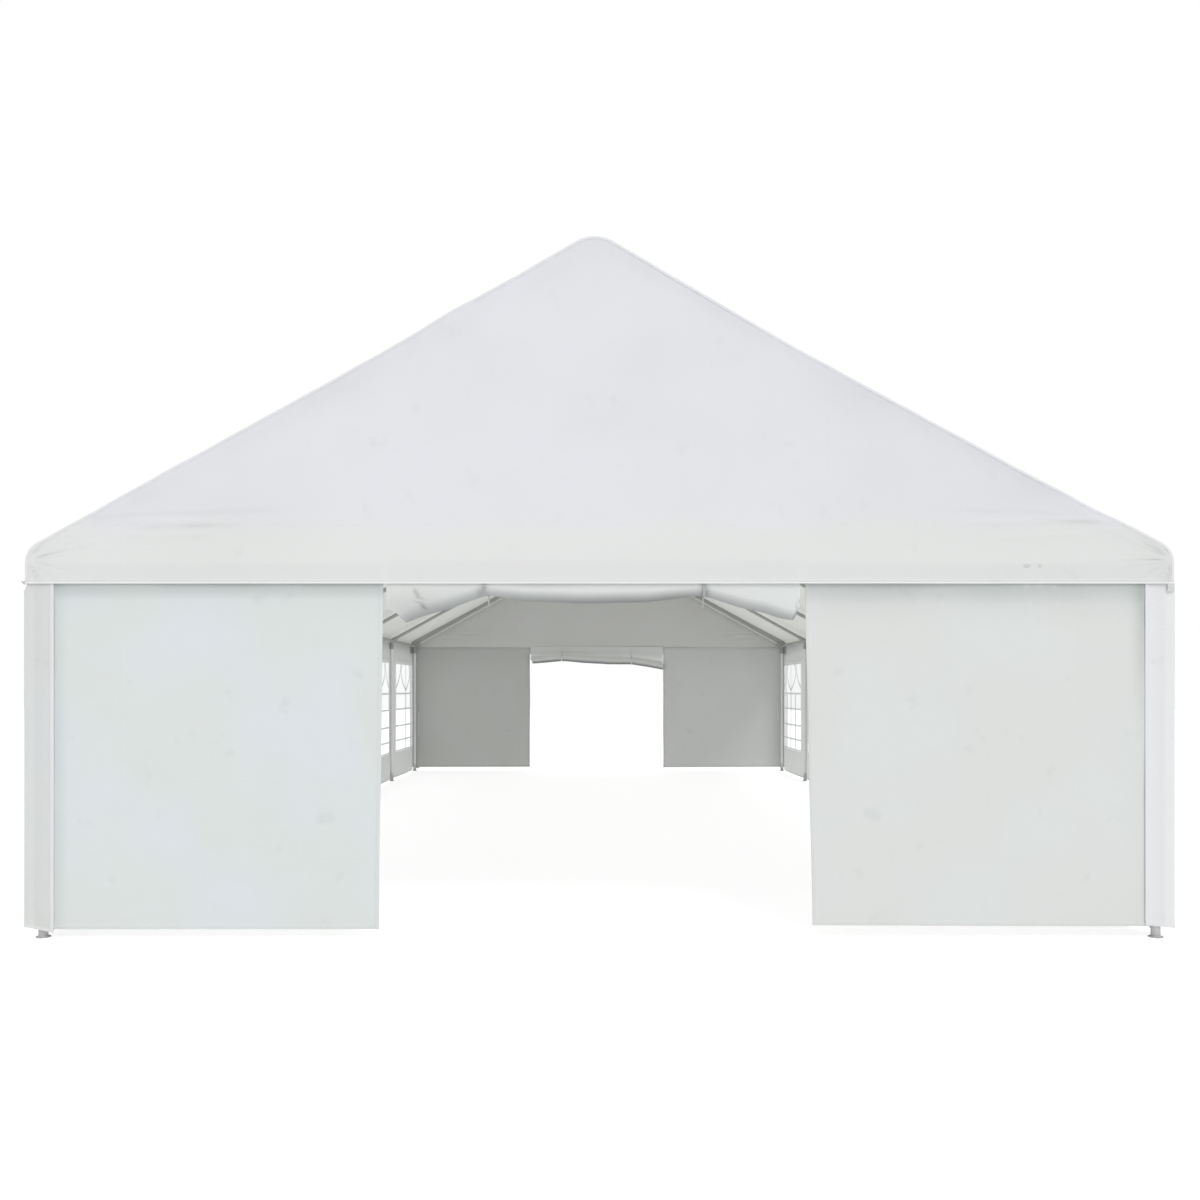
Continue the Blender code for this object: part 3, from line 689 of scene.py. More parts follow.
def roofEdge(u, end, under=0.0):
    # the edge of the roof at one end, and its outward direction
    x, z, outX, outZ = sectionAt(u)
    x, z = x - outX * under, z - outZ * under
    across, drop = frontLine(x, end * tent["halfLength"])
    return x + across, z + drop, outX, outZ


def placeGable(end):
    def place(u, v):
        # u follows the roof line between the shoulders; v is metres up the hem, then a share of the rest
        x, top, _, _ = roofEdge(u, end, 0.004)
        inset, rise = folded(np.minimum(v, gableSet["hem"]))
        share = np.maximum(v - gableSet["hem"], 0)
        z = tent["valanceHem"] + inset + (top - tent["valanceHem"] - gableSet["hem"]) * share
        border = smooth(0.0, 0.06, np.minimum(top - z, tent["coverHalfWidth"] - np.abs(x)))
        lift = gableLift(x, z, end) * border + rise
        return x, end * (gableOuter - 0.0006 - 0.0009 * border + lift), z
    return place


def placeBinding(end):
    def place(u, v):
        # the sewn edge that joins the gable to the slopes: over the corner from front to back
        corner, inFront = gableSet["binding"]["corner"], gableSet["binding"]["inFront"]
        x, z, outX, outZ = roofEdge(u, end)
        turn = np.clip((v - inFront) / corner, 0, pi / 2)
        inset = np.maximum(inFront - v, 0) + corner * (1 - np.sin(turn))
        back = corner * (1 - np.cos(turn)) + np.maximum(v - inFront - corner * pi / 2, 0)
        ripple = 0.0009 * drift(u * 16.0, v * 30, 50 + end) + 0.0006 * drift(u * 45.0, v * 9, 52 + end)
        out = 0.0008 - inset + ripple
        y = gableOuter + 0.0004 + ripple * (v < inFront) - back
        return x + outX * out, end * y, z + outZ * out
    return place


print("gable covers")
fineStart = shoulderAlong - gableSet["fineEnd"]
for end, endName, endNode in ends:
    cloth, gablePlace = gableSet["cloths"][end], placeGable(end)
    gable = clothPiece(
        "gableSkin" + endName,
        mirrored(lines(0, fineStart, gableSet["step"], np.linspace(fineStart, shoulderAlong, 16))),
        np.concatenate([hemLines, gableSet["hem"] + np.linspace(0, 1, gableSet["rows"])[1:]]),
        gablePlace, cloth, ["gable_cover_" + endNode],
        edge=lambda u, v: np.where(v <= gableSet["hem"], v, 1.0),
        paintedShading=lambda u, v, place=gablePlace, way=end: gablePaintedShade(*place(u, v)[::2], way),
        pattern=lambda u, v, place=gablePlace: place(u, v)[::2],
    )
    edging = gableSet["binding"]
    bindingUs = lines(-hemAlong, hemAlong, edging["step"], np.linspace(fineStart, shoulderAlong, 12))
    bindingVs = edging["vs"]
    binding = clothPiece(
        "gableBinding" + endName, bindingUs, bindingVs, placeBinding(end), cloth,
        edge=0.5, paintedShading=edging["paintedShading"],
    )
    2 * hemAlong


# Gable walls
# edge: the doorway's edge at its top and its foot; low: the hem's height at the post and at the doorway;
# gathers: places of small folds under the valance; topShade: painted shadow under the valance;
# hemShade: painted shadow right under the hem: its darkness, and between which heights it grows;
# lineShade: painted shadow beside the side wall's flap, low and high up
noShade = {"gathers": (), "topShade": 0.05, "hemShade": (0.0, 1.78, 1.85), "lineShade": (0.0, 0.0)}
gableWalls = {
    "FrontLeft": {
        "edge": (1.141, 1.165), "low": (0.047, 0.047), "seed": 60, "cloth": wallCloth,
        "gathers": (), "topShade": 0.08, "hemShade": (0.52, 1.783, 1.848), "lineShade": (0.40, 0.30),
    },
    "FrontRight": {
        "edge": (1.083, 1.125), "low": (0.062, 0.069), "seed": 63, "cloth": paleWallCloth,
        "gathers": (2.26, 2.40, 2.33), "topShade": 0.26, "hemShade": (0.33, 1.755, 1.840),
        "lineShade": (0.05, 0.70),
    },
    "RearLeft": {
        **noShade, "edge": (1.098, 1.101), "low": (0.055, 0.060), "seed": 66, "cloth": shadedRearWallCloth,
    },
    "RearRight": {
        **noShade, "edge": (1.041, 1.045), "low": (0.058, 0.052), "seed": 69, "cloth": rearPaleCloth,
    },
}
wallTop, wallOuter, flapEdge = 1.975, 2.985, 2.880
wallStep = {"across": 0.024, "up": 0.026}
wallPlane = (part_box("gable_wall_rear_left")[0].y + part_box("gable_wall_rear_left")[1].y) / 2


def wallSize(looks):
    return wallOuter - looks["edge"][1], wallTop - looks["low"][0]


def wallLift(across, z, seed):
    # how a hanging wall stands off its plane, held at the top and loose below it
    loose = 1 - smooth(1.70, 1.86, z)
    lift = 0.007 * drift(across * 0.8, z * 0.7, seed) + 0.003 * drift(across * 2.4, z * 1.4, seed + 1)
    lift = lift + 0.0012 * crumple(across * 6.0, z * 4.0, seed + 2)
    pressed = (0.0040 + 0.0022 * drift(across * 3.0, z * 2.0, seed + 5)) * smooth(1.76, 1.86, z)
    return lift * loose + 0.0015 * drift(across * 5.0, z * 0.6, seed + 4) * smooth(1.2, 1.9, z) + pressed


def wallPaintedShade(u, v, looks):
    # painted shadow: greyer right under the valance and beside the flap of the side wall
    z, across = looks["low"][0] + v, wallOuter - u
    uneven = 0.7 + 0.5 * drift(across * 3.0, z * 2.0, looks["seed"] + 11)
    amount, start, full = looks["hemShade"]
    shade = looks["topShade"] * smooth(1.60, 1.87, z) * uneven
    shade = shade + amount * np.clip((z - start) / (full - start), 0, 1) * (z < 1.90)
    low, high = looks["lineShade"]
    flapShadow = bump(flapEdge - 0.006, 0.009, across) + 0.4 * bump(flapEdge - 0.03, 0.03, across)
    return -np.clip(shade + (low + (high - low) * smooth(0.9, 1.7, z)) * flapShadow, 0, 0.9)


def placeGableWall(end, side, looks):
    (width, height), seed = wallSize(looks), looks["seed"]

    def place(u, v):
        # u from the post to the doorway, and v up from the hem
        insetU, riseU = folded(width - u)
        up, riseV = hungBetween(v, height)
        share = (width - insetU) / width
        low = looks["low"][0] + (looks["low"][1] - looks["low"][0]) * share
        z = low + (wallTop - low) * up
        inner = looks["edge"][1] + (looks["edge"][0] - looks["edge"][1]) * up
        inner = inner + 0.004 * drift(v * 1.6, 0, seed + 7) * smooth(0, 0.3, up) * (up < 0.98)
        across = wallOuter - (wallOuter - inner) * share
        free = bump(width, 0.10, u)
        lift = wallLift(across, z, seed) + free * 0.005 * drift(v * 2.2, 0, seed + 8)
        for gather in looks["gathers"]:
            fold = bump(gather + 0.012 * drift(z * 2.0, 0, seed + 9), 0.020, across)
            lift = lift + 0.004 * fold * smooth(1.60, 1.80, z)
        lift = lift + free * smooth(0.03, 0.0, width - u) * 0.0010 * drift(v * 26.0, 0, seed + 10)
        lift = np.minimum(lift, 0.010 - 0.0085 * smooth(2.76, flapEdge, across))  # it stays behind the flap
        return side * across, end * (wallPlane + lift + riseU + riseV), z
    return place


print("gable walls")
for end, endName, endNode in ends:
    for side, sideName, sideNode in sides:
        looks = gableWalls[endName + sideName]
        width, height = wallSize(looks)
        plain = lines(0, width - hem["clear"], wallStep["across"])
        wall = clothPiece(
            "gableWall" + endName + sideName, np.unique(np.concatenate([plain, hemAtHigh(width)])),
            hemmedLines(height, wallStep["up"]), placeGableWall(end, side, looks), looks["cloth"],
            [f"gable_wall_{endNode}_{sideNode}"],
            edge=lambda u, v, w=width, h=height: np.minimum(np.minimum(w - u, v), h - v),
            paintedShading=lambda u, v, own=looks: wallPaintedShade(u, v, own),
        )
        width + hem["turned"]
        height + 2 * hem["turned"]


# Side walls
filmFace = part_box("window_film_right")[1].x
sideWall = {
    "plane": 3.0227, "inner": filmFace + 0.0023, "flare": (0.07, 0.32), "step": 0.036,
    "flapPlane": gableOuter - 0.0053 - 0.002, "corner": 0.010, "bottom": 0.035,
    "rim": 0.028, "belly": 0.054, "post": 0.03, "flapOut": 0.018,
    "window": (1.46, 0.40, 1.70),  # its width, and how high it begins and ends
    "flapLow": {"left": (0.032, 0.057), "right": (0.069, 0.058)},  # its hem, at its edge and at the corner
    # the painted light and shade of the whole wall, what its flaps add, and what they add more by their
    # corners: painted light on the right flap, which stands in the light, and painted shade over the whole
    # left wall
    "paintedShadings": {"left": (-0.12, 0.08, -0.10), "right": (0.0, 0.72, -0.35)},
}
flapLong = sideWall["plane"] - sideWall["corner"] - flapEdge
cornerLong = sideWall["corner"] * pi / 2
runLong = 2 * (sideWall["flapPlane"] - sideWall["corner"])
sideLong = 2 * flapLong + 2 * cornerLong + runLong
sideHigh = wallTop - sideWall["bottom"]
runStart = flapLong + cornerLong
windowMiddles = [place + tent["bay"] / 2 for place in framePlaces[:-1]]


def sideLift(y, z, side):
    # the side walls are tied at the posts and belly a little between them
    fromFrame, seed = fromFrames(y), 80 + side
    loose = 1 - smooth(1.66, 1.88, z)
    away = np.clip((fromFrame - sideWall["post"]) / (1 - sideWall["post"]), 0, 1)
    belly = 0.004 * drift(y * 0.45, z * 0.6, seed) - sideWall["belly"] * np.sin(away * pi / 2) ** 0.42
    folds = bump(0, 0.16, fromFrame) * 0.0035 * drift(y * 9.0, z * 0.9, seed + 3)
    lift = belly + folds + 0.0010 * crumple(y * 5.0, z * 3.5, seed + 6)
    lift = np.where(away > 0, lift, np.maximum(lift, -0.0015))
    return lift * loose * smooth(0, 0.25, tent["halfLength"] - np.abs(y))


def windowEdge(y, z):
    # distance outwards from the nearest window's edge, negative inside it
    wide, low, high = sideWall["window"]
    nearest = np.abs((y / tent["bay"]) % 1 - 0.5) * tent["bay"]
    return np.maximum(nearest - wide / 2, np.maximum(low - z, z - high))


def placeSideWall(side, flapLow):
    def place(u, v):
        # u from the front flap's edge, along the side and round to the rear flap's edge
        fromEnd, riseU = folded(np.minimum(u, sideLong - u), 0.1)
        nearFront = np.where(u < sideLong / 2, -1.0, 1.0)
        turn = np.clip((fromEnd - flapLong) / sideWall["corner"], 0, pi / 2)
        onRun = np.maximum(fromEnd - runStart, 0)
        flare = smooth(*sideWall["flare"], onRun)
        x = flapEdge + np.minimum(fromEnd, flapLong) + sideWall["corner"] * np.sin(turn)
        x = x + (sideWall["inner"] - sideWall["plane"]) * flare
        y = nearFront * (sideWall["flapPlane"] - sideWall["corner"] * (1 - np.cos(turn)) - onRun)
        low = sideWall["bottom"] + (flapLow[0] - sideWall["bottom"]) * smooth(0.7, 0.0, fromEnd)
        low = low + (flapLow[1] - flapLow[0]) * smooth(0, flapLong, fromEnd) * smooth(0.7, flapLong, fromEnd)
        up, riseV = hungBetween(v, sideHigh)
        # by the corner the cloth between the hems isn't drawn in, and past it the hem is level
        between = sideWall["bottom"] + v + (low - sideWall["bottom"]) * (1 - v / sideHigh)
        z = np.where((v > 0.3) & (v < 1.8), between, low + (wallTop - low) * up)
        z = np.where(onRun > 0.5, sideWall["bottom"] + up * sideHigh, z)
        # below the valance the front corners hang a little further out
        toCorner = np.clip((x - flapEdge) / (sideWall["plane"] - flapEdge), 0, 1) * (1 - flare)
        x = x + sideWall["flapOut"] * toCorner * (1 - smooth(1.835, 1.868, z)) * (nearFront < 0)
        rim = (1 - smooth(sideWall["rim"], sideWall["rim"] + 0.005, windowEdge(y, z))) * (onRun > 0) * 0.0008
        wave = 0.0016 * drift(v * 1.8, u * 4, 95 + side) * (1 - smooth(1.75, 1.86, z)) * (fromEnd < flapLong)
        lift = riseU + riseV + rim + np.where(onRun > 0, sideLift(y, z, side), wave)
        return side * (x + np.sin(turn) * lift), y + nearFront * np.cos(turn) * lift, z
    return place


def sideEdge(u, v):
    border = np.minimum(np.minimum(u, sideLong - u), np.minimum(v, sideHigh - v))
    y = u - sideLong / 2
    hole = windowEdge(y, v + sideWall["bottom"])
    return np.minimum(border, np.where(np.abs(y) < runLong / 2, hole, 1.0))


def sidePaintedShading(whole, flap, byCorner):
    # painted light and shade over the wall, and more over its flaps
    def paintedShading(u, v):
        return whole + smooth(0.9, flapLong, u) * (flap + byCorner * smooth(0.03, flapLong, u))
    return paintedShading


print("side walls")
wide, low, high = sideWall["window"]
rimSteps = (0, 0.004, 0.012, sideWall["rim"], sideWall["rim"] + 0.006)
fromMiddle = [way * (wide / 2 + part) for way in (-1, 1) for part in rimSteps]
windowUs = [sideLong / 2 + middle + part for middle in windowMiddles for part in fromMiddle]
windowVs = [low - sideWall["bottom"] - part for part in rimSteps]
windowVs += [high - sideWall["bottom"] + part for part in rimSteps]
postParts = [part * sideWall["post"] for part in range(-2, 3)]
postUs = [sideLong / 2 + place + part for place in framePlaces[1:-1] for part in postParts]
turnUs = [flapLong + cornerLong * part / 4 for part in range(5)]
turnUs += [sideLong - part for part in turnUs]
sideFlat = (sideLong + 2 * hem["turned"], sideHigh + 2 * hem["turned"])
sideArea = sideFlat[0] * sideFlat[1] - tent["bays"] * wide * (high - low)
for side, sideName, sideNode in sides:
    wall = clothPiece(
        "sideWall" + sideName,
        hemmedLines(sideLong, sideWall["step"], windowUs + postUs + turnUs),
        hemmedLines(sideHigh, sideWall["step"], windowVs),
        placeSideWall(side, sideWall["flapLow"][sideNode]), sideCloth,
        ["side_wall_" + sideNode], edge=sideEdge, paintedShading=sidePaintedShading(*sideWall["paintedShadings"][sideNode]),
        keep=lambda u, v: windowEdge(u - sideLong / 2, v + sideWall["bottom"]) > 0,
    )


# Windows
windowSet = {
    "bar": 0.026, "upright": {"left": 0.078, "right": 0.074}, "rib": 0.040, "border": 0.024,
    # the inner rib opens like a petal from the middle bar, and the outer one comes in from the side
    "petal": (
        (0.0, 1.285), (0.17, 1.365), (0.30, 1.445), (0.375, 1.530), (0.365, 1.605), (0.31, 1.655),
        (0.26, 1.70),
    ),
    "branch": ((0.70, 1.335), (0.585, 1.405), (0.49, 1.485), (0.425, 1.570), (0.405, 1.640), (0.42, 1.70)),
    "crossbars": (1.244, 1.014, 0.773, 0.563), "uprights": {"left": (0.0,), "right": (-0.35, 0.0, 0.35)},
    "film": 0.042, "filmIn": 0.0012,  # how far the film reaches past its window, and how far in it lies
    "printOff": 0.0004, "printStep": 0.00006,  # how far the print lies off it, and each strip off the last
}


def eased(values, times):  # a line of places with its bends eased and its ends kept
    for _ in range(times):
        values[1:-1] = (values[:-2] + 2 * values[1:-1] + values[2:]) / 4
    return values


def traced(way, stops):
    # one printed rib of the tracery, drawn as a smooth line through its stops
    parts = [np.linspace(first, second, 5)[:-1] for first, second in zip(stops, stops[1:])]
    return eased(np.concatenate([*parts, [stops[-1]]]), 3) * (way, 1)


def windowRibbons(sideNode):
    # the middle line and the width of each printed strip, the lowest first
    wide, low, high = sideWall["window"]
    top, border, rib = windowSet["crossbars"][0], windowSet["border"], windowSet["rib"]

    def level(height, width):
        return np.linspace((-wide / 2, height), (wide / 2, height), 21), width

    def upright(place, start, end, steps, width):
        return np.linspace((place, start), (place, end), steps + 1), width

    ribbons = [level(height, windowSet["bar"]) for height in windowSet["crossbars"]]
    for place in windowSet["uprights"][sideNode]:
        ribbons.append(upright(place, low, top, 14, windowSet["upright"][sideNode]))
    ribbons.append(upright(0, top, high, 8, rib))
    for way in (-1, 1):
        ribbons += [(traced(way, windowSet["petal"]), rib), (traced(way, windowSet["branch"]), rib)]
        ribbons.append(upright(way * (wide - border) / 2, low, high, 20, border))
    return ribbons + [level(low + border / 2, border), level(high - border / 2, border)]


def windowMesh(name, side, middle, ribbons):
    # printed strips lie on the outside of the film, each a hair above those under it
    points, quads = [], []
    for order, (line, width) in enumerate(ribbons):
        ahead = np.gradient(line, axis=0)
        ahead /= np.hypot(ahead[:, 0], ahead[:, 1])[:, None]
        first = len(points)
        for (a, b), (da, db) in zip(line, ahead):
            for way in (-1, 1):
                y, z = middle + a - db * way * width / 2, b + da * way * width / 2
                x = filmFace + windowSet["printOff"] + windowSet["printStep"] * order
                x += float(sideLift(y, z, side))
                points.append((side * x, y, z))
        quads += [(i, i + 1, i + 3, i + 2) for i in range(first, len(points) - 2, 2)]
    return patterned(name, points, quads, [point[1:] for point in points])


def placeFilm(side, middle):
    def place(u, v):
        y, z = middle + u, v
        wave = 0.0006 * drift(y * 5.0, z * 4.0, 120 + side)
        return side * (filmFace - windowSet["filmIn"] + sideLift(y, z, side) + wave), y, z
    return place


print("windows")
filmUs = np.linspace(-wide / 2 - windowSet["film"], wide / 2 + windowSet["film"], 26)
filmVs = np.linspace(low - windowSet["film"], high + windowSet["film"], 24)
for side, sideName, sideNode in sides:
    for number, middle in enumerate(windowMiddles, 1):
        clothPiece(
            f"windowFilm{sideName}{number}", filmUs, filmVs, placeFilm(side, middle),
            clearFilm, ["window_film_" + sideNode],
        )
        name = f"windowBars{sideName}{number}"
        put(name, windowMesh(name, side, middle, windowRibbons(sideNode)), windowPrint)


# Rolled-up doors
# stations: across, height of the roll's underside, radius; tail: how far the ties' ends hang down;
# slant: how far the two ends of the roll lean; under: across, and how dark the painted shade of the
# underside is there; veil: painted shade on the left end; groove: painted light above the roll;
# crease shadows: painted shadow lines along creases: from, to, width, darkness
doorRolls = {
    "Front": {
        "stations": (
            (-1.125, 1.668, 0.050), (-1.04, 1.698, 0.056), (-0.973, 1.716, 0.058), (-0.85, 1.746, 0.058),
            (-0.734, 1.783, 0.054), (-0.622, 1.814, 0.046),
            (-0.42, 1.784, 0.056), (-0.10, 1.769, 0.060), (0.25, 1.776, 0.058), (0.553, 1.812, 0.046),
            (0.78, 1.745, 0.056), (0.91, 1.720, 0.056), (0.99, 1.690, 0.056), (1.058, 1.680, 0.046),
        ),
        "ties": (-0.609, 0.553), "tail": 0.062, "webbing": webbing,
        "seed": 140, "slant": (0.10, -0.03), "cloth": rollCloth,
        "under": (
            (-1.12, 0.42), (-0.65, 0.46), (-0.45, 0.74), (-0.10, 0.88), (0.40, 0.92), (0.60, 0.61),
            (1.06, 0.64),
        ),
        "sharp": 1.1, "veil": 0.22, "groove": 0.0,
        "creaseShadows": (
            ((-0.975, 1.838), (-0.925, 1.740), 0.010, 0.42), ((-0.60, 1.880), (-0.63, 1.83), 0.020, 0.35),
            ((0.545, 1.885), (0.56, 1.83), 0.022, 0.40), ((1.055, 1.775), (1.030, 1.690), 0.006, 0.6),
        ),
    },
    "Rear": {
        "stations": (
            (-1.091, 1.717, 0.050), (-0.878, 1.731, 0.058), (-0.588, 1.759, 0.052), (-0.228, 1.728, 0.060),
            (0.172, 1.704, 0.060), (0.532, 1.706, 0.052), (0.822, 1.657, 0.056), (1.037, 1.619, 0.050),
        ),
        "ties": (-0.588, 0.532), "tail": 0.020, "webbing": litRearWebbing,
        "seed": 150, "slant": (0.04, 0.0), "cloth": litRearRollCloth,
        "under": ((-1.1, 1.4), (1.1, 1.4)), "sharp": 1.2, "veil": 0.0, "groove": 0.9, "creaseShadows": (),
    },
}
rollSet = {
    "turns": 8, "core": 0.009, "front": gableOuter - 0.0068, "top": 1.990, "step": 0.015, "perTurn": 16,
    "drop": 1.88,  # how far the door hangs down when it is closed
}


def rollLine(stations):
    # the roll's underside and radius at fine places along it, with its bends eased
    places, unders, radii = zip(*stations)
    x = np.linspace(places[0], places[-1], 300)
    return x, eased(np.interp(x, places, unders), 14), eased(np.interp(x, places, radii), 14)


def placeRoll(end, looks):
    lineX, lineUnder, lineRadius = rollLine(looks["stations"])
    middle = (lineX[0] + lineX[-1]) / 2

    def place(u, v):
        # v up to 0 is the flat cloth above the roll as a share, and beyond it turns of the roll
        radius = np.interp(u, lineX, lineRadius)
        centre = np.interp(u, lineX, lineUnder) + radius
        turns = np.maximum(v, 0)
        begun, angle = smooth(0.02, 0.3, turns), turns * 2 * pi
        outer = radius * (1 + 0.05 * drift(u * 2.6, turns * 1.3, looks["seed"]) * begun)
        outer = outer * (1 + 0.025 * drift(u * 8.0, turns * 2.0, looks["seed"] + 1) * begun)
        now = outer - (outer - rollSet["core"]) * turns / rollSet["turns"]
        y = np.where(v < 0, rollSet["front"], rollSet["front"] - radius + now * np.cos(angle))
        z = np.where(v < 0, centre + (rollSet["top"] - centre) * -v, centre - now * np.sin(angle))
        lowness = np.clip((centre + radius - z) / (2 * radius), 0, 1)
        leftPull = looks["slant"][0] * smooth(middle, lineX[0], u) ** 2
        rightPull = looks["slant"][1] * smooth(middle, lineX[-1], u) ** 2
        x = u + (leftPull + rightPull) * lowness * (v >= 0)
        return x, end * y, z
    return place


def rollPaintedShading(looks, place):
    def paintedShading(u, v):
        # painted shade: dark underneath, where the outer turn faces the ground, and painted shadow in a few
        # creases
        x, _, z = place(u, v)
        below = np.clip(np.sin(2 * pi * np.clip(v, 0, 0.5)), 0, 1) ** looks["sharp"]
        veil = smooth(-0.58, -0.70, u) * np.clip((1.87 - z) / 0.12, 0, 1) * (v < 0.5)
        amount = below * np.interp(u, *zip(*looks["under"])) + looks["veil"] * veil
        for (x1, z1), (x2, z2), wide, dark in looks["creaseShadows"]:
            dx, dz = x2 - x1, z2 - z1
            along = np.clip(((x - x1) * dx + (z - z1) * dz) / (dx**2 + dz**2), 0, 1)
            amount = amount + dark * bump(0, wide, np.hypot(x - x1 - along * dx, z - z1 - along * dz))
        # and painted light where the roll meets the flat cloth that it hangs from
        paintedGrooveLight = bump(0.80, 0.16, v) + bump(-0.30, 0.14, v)
        return looks["groove"] * paintedGrooveLight - np.clip(amount, 0, 0.95)
    return paintedShading


def rollPattern(u, v):  # how far the cloth has run, from a first turn of 55 mm to the core
    turns, first = np.maximum(v, 0), 0.055
    wound = 2 * pi * (first * turns - (first - rollSet["core"]) * turns**2 / (2 * rollSet["turns"]))
    return u, np.where(v < 0, 0.2 * v, wound)


def strap(name, path, width, across, material):
    # a flat strap that follows a path in the y-z plane, its width along x
    cells, path = 4, np.array(path)
    offsets = [width * (i / cells - 0.5) for i in range(cells + 1)]
    run = np.concatenate([[0], np.cumsum(np.hypot(*np.diff(path, axis=0).T))])
    points = [(across + offset, y, z) for y, z in path for offset in offsets]
    starts = [row * (cells + 1) + i for row in range(len(path) - 1) for i in range(cells)]
    quads = [(first, first + 1, first + cells + 2, first + cells + 1) for first in starts]
    mesh = patterned(name, points, quads, [(offset, far) for far in run for offset in offsets])
    mesh.shade_smooth()
    return put(name, mesh, material)


# widths of the ties and their ends, how far the ends hang in front, and where the ties are sewn on
tieSet = {"width": 0.014, "tailWidth": 0.007, "tailOut": 0.012, "slack": 0.003, "top": 1.985}


def tie(end, name, across, line, looks):
    # one tie: a loop of webbing round the roll, and the end that hangs from its knot
    front, slack = rollSet["front"], tieSet["slack"]
    radius = float(np.interp(across, line[0], line[2])) + slack
    centre = float(np.interp(across, line[0], line[1])) + radius - slack
    middle, outer = front - radius + 0.0042, front + slack
    path = [(outer, tieSet["top"]), (outer, 1.93), (outer, centre + 0.03)]
    path += [(middle + (outer - middle) * cos(a), centre - radius * sin(a)) for a in np.linspace(0, pi, 22)]
    path += [(middle - radius * 0.8, centre + 0.04), (front - 0.03, centre + radius + 0.02)]
    path += [(front - 0.0045, centre + radius + 0.05), (front - slack, tieSet["top"])]
    loop = strap("doorTie" + name, [(end * y, z) for y, z in path], tieSet["width"], across, looks["webbing"])
    tail = []
    for step in range(11):
        y = middle + tieSet["tailOut"] + 0.006 * sin(step / 3)
        tail.append((end * y, centre - radius + 0.004 - looks["tail"] * step / 10))
    start = across + (0.022 if across < 0 else -0.004)
    return [loop, strap("doorTieTail" + name, tail, tieSet["tailWidth"], start, looks["webbing"])]


print("rolled-up doors")
rollWound = np.linspace(0, rollSet["turns"], rollSet["turns"] * rollSet["perTurn"] + 1)
rollVs = np.concatenate([np.linspace(-1, 0, 12), rollWound[1:]])
for end, endName, endNode in ends:
    looks = doorRolls[endName]
    line = rollLine(looks["stations"])
    left, right = line[0][0], line[0][-1]
    ties = []
    for number, across in enumerate(looks["ties"], 1):
        ties += tie(end, f"{endName}{number}", across, line, looks)
    rollPlace = placeRoll(end, looks)
    roll = clothPiece(
        "doorRoll" + endName, lines(left, right, rollSet["step"]), rollVs, rollPlace, looks["cloth"],
        ["door_roll_" + endNode], pattern=rollPattern, paintedShading=rollPaintedShading(looks, rollPlace),
        edge=lambda u, v, a=left, b=right: np.minimum(u - a, b - u),
    )
    right - left


# Steelwork
steelSet = {
    "around": 28, "chamfer": 0.0015, "groove": 0.0012, "grooveDeep": 0.0010, "bolt": 0.0075,
    "washer": 0.0098, "button": 0.0042, "buttonAt": 0.045,
    "plate": (0.038, 0.0048), "plateEdge": 0.0012, "weld": 0.0045, "overlap": 0.004,
    # how far along their sockets the bolts are, and the turned parts: the dome on each connector of the eave,
    # the hub under the ridge and the purlin's clip
    "boltAt": {"foot": 0.055, "eave": 0.065, "post": 0.085, "rafterLow": 0.072, "rafterHigh": 0.085},
    "dome": ((0, 0.0245), (0.018, 0.0235), (0.0255, 0.016)),
    "hub": ((0, 0.017), (0.008, 0.0235), (0.045, 0.0235)), "hubDrop": 0.022,
    "clip": ((0, 0.0222), (0.002, 0.0232), (0.038, 0.0232), (0.040, 0.0222)), "clipHalf": 0.02,
}
tubeJoints = [tent["bay"] * (i + 0.5) for i in range(tent["bays"])]  # where the lengths of a long tube meet


def turned(shape, start, end, stations, around=None):
    # a round solid along a line: stations are (distance, radius)
    around = around or steelSet["around"]
    start, end = Vector(start), Vector(end)
    axis = (end - start).normalized()
    first = axis.orthogonal().normalized()
    second = axis.cross(first)
    rings = []
    angles = [2 * pi * i / around for i in range(around)]
    for distance, radius in stations:
        middle = start + axis * distance
        rings.append([shape.verts.new(middle + (first * cos(a) + second * sin(a)) * radius) for a in angles])
    for low, high in zip(rings, rings[1:]):
        for i in range(around):
            shape.faces.new((low[i], low[(i + 1) % around], high[(i + 1) % around], high[i]))
    shape.faces.new(rings[0][::-1])
    shape.faces.new(rings[-1])


def addTube(shape, start, end, joints=()):
    # a tube with a fine groove where two lengths of it meet, and a button beside it
    start, end = Vector(start), Vector(end)
    long, along = (end - start).length, (end - start).normalized()
    radius, cut, groove = tent["tube"], steelSet["chamfer"], steelSet["groove"]
    stations = [(0, radius - cut), (cut, radius)]
    for place in joints:
        bottom = (place, radius - steelSet["grooveDeep"])
        stations += [(place - groove, radius), bottom, (place + groove, radius)]
    turned(shape, start, end, stations + [(long - cut, radius), (long, radius - cut)])
    for place in joints:
        addButton(shape, start + along * (place + steelSet["buttonAt"]), along)


def addSocket(shape, start, end):
    # a connector's socket, with a rolled lip at its mouth
    long = (Vector(end) - Vector(start)).length
    radius, cut = tent["socket"], steelSet["chamfer"]
    lip = [(long - 0.007, radius), (long - 0.005, radius + 0.0010), (long - 0.002, radius + 0.0010)]
    mouth = [(long, radius - 0.0005), (long, tent["tube"] - 0.0005)]
    turned(shape, start, end, [(0, radius - cut), (cut, radius)] + lip + mouth)


def addButton(shape, place, along):
    # the spring button that locks two lengths of tube
    out = along.orthogonal().normalized()
    if abs(out.z) > 0.9:
        out = along.cross(out)
    size = steelSet["button"]
    stations = [(0, size), (0.0008, size), (0.0020, size * 0.82), (0.0029, size * 0.45), (0.0031, size * 0.1)]
    turned(shape, place + out * (tent["tube"] - 0.0006), place + out, stations, 14)


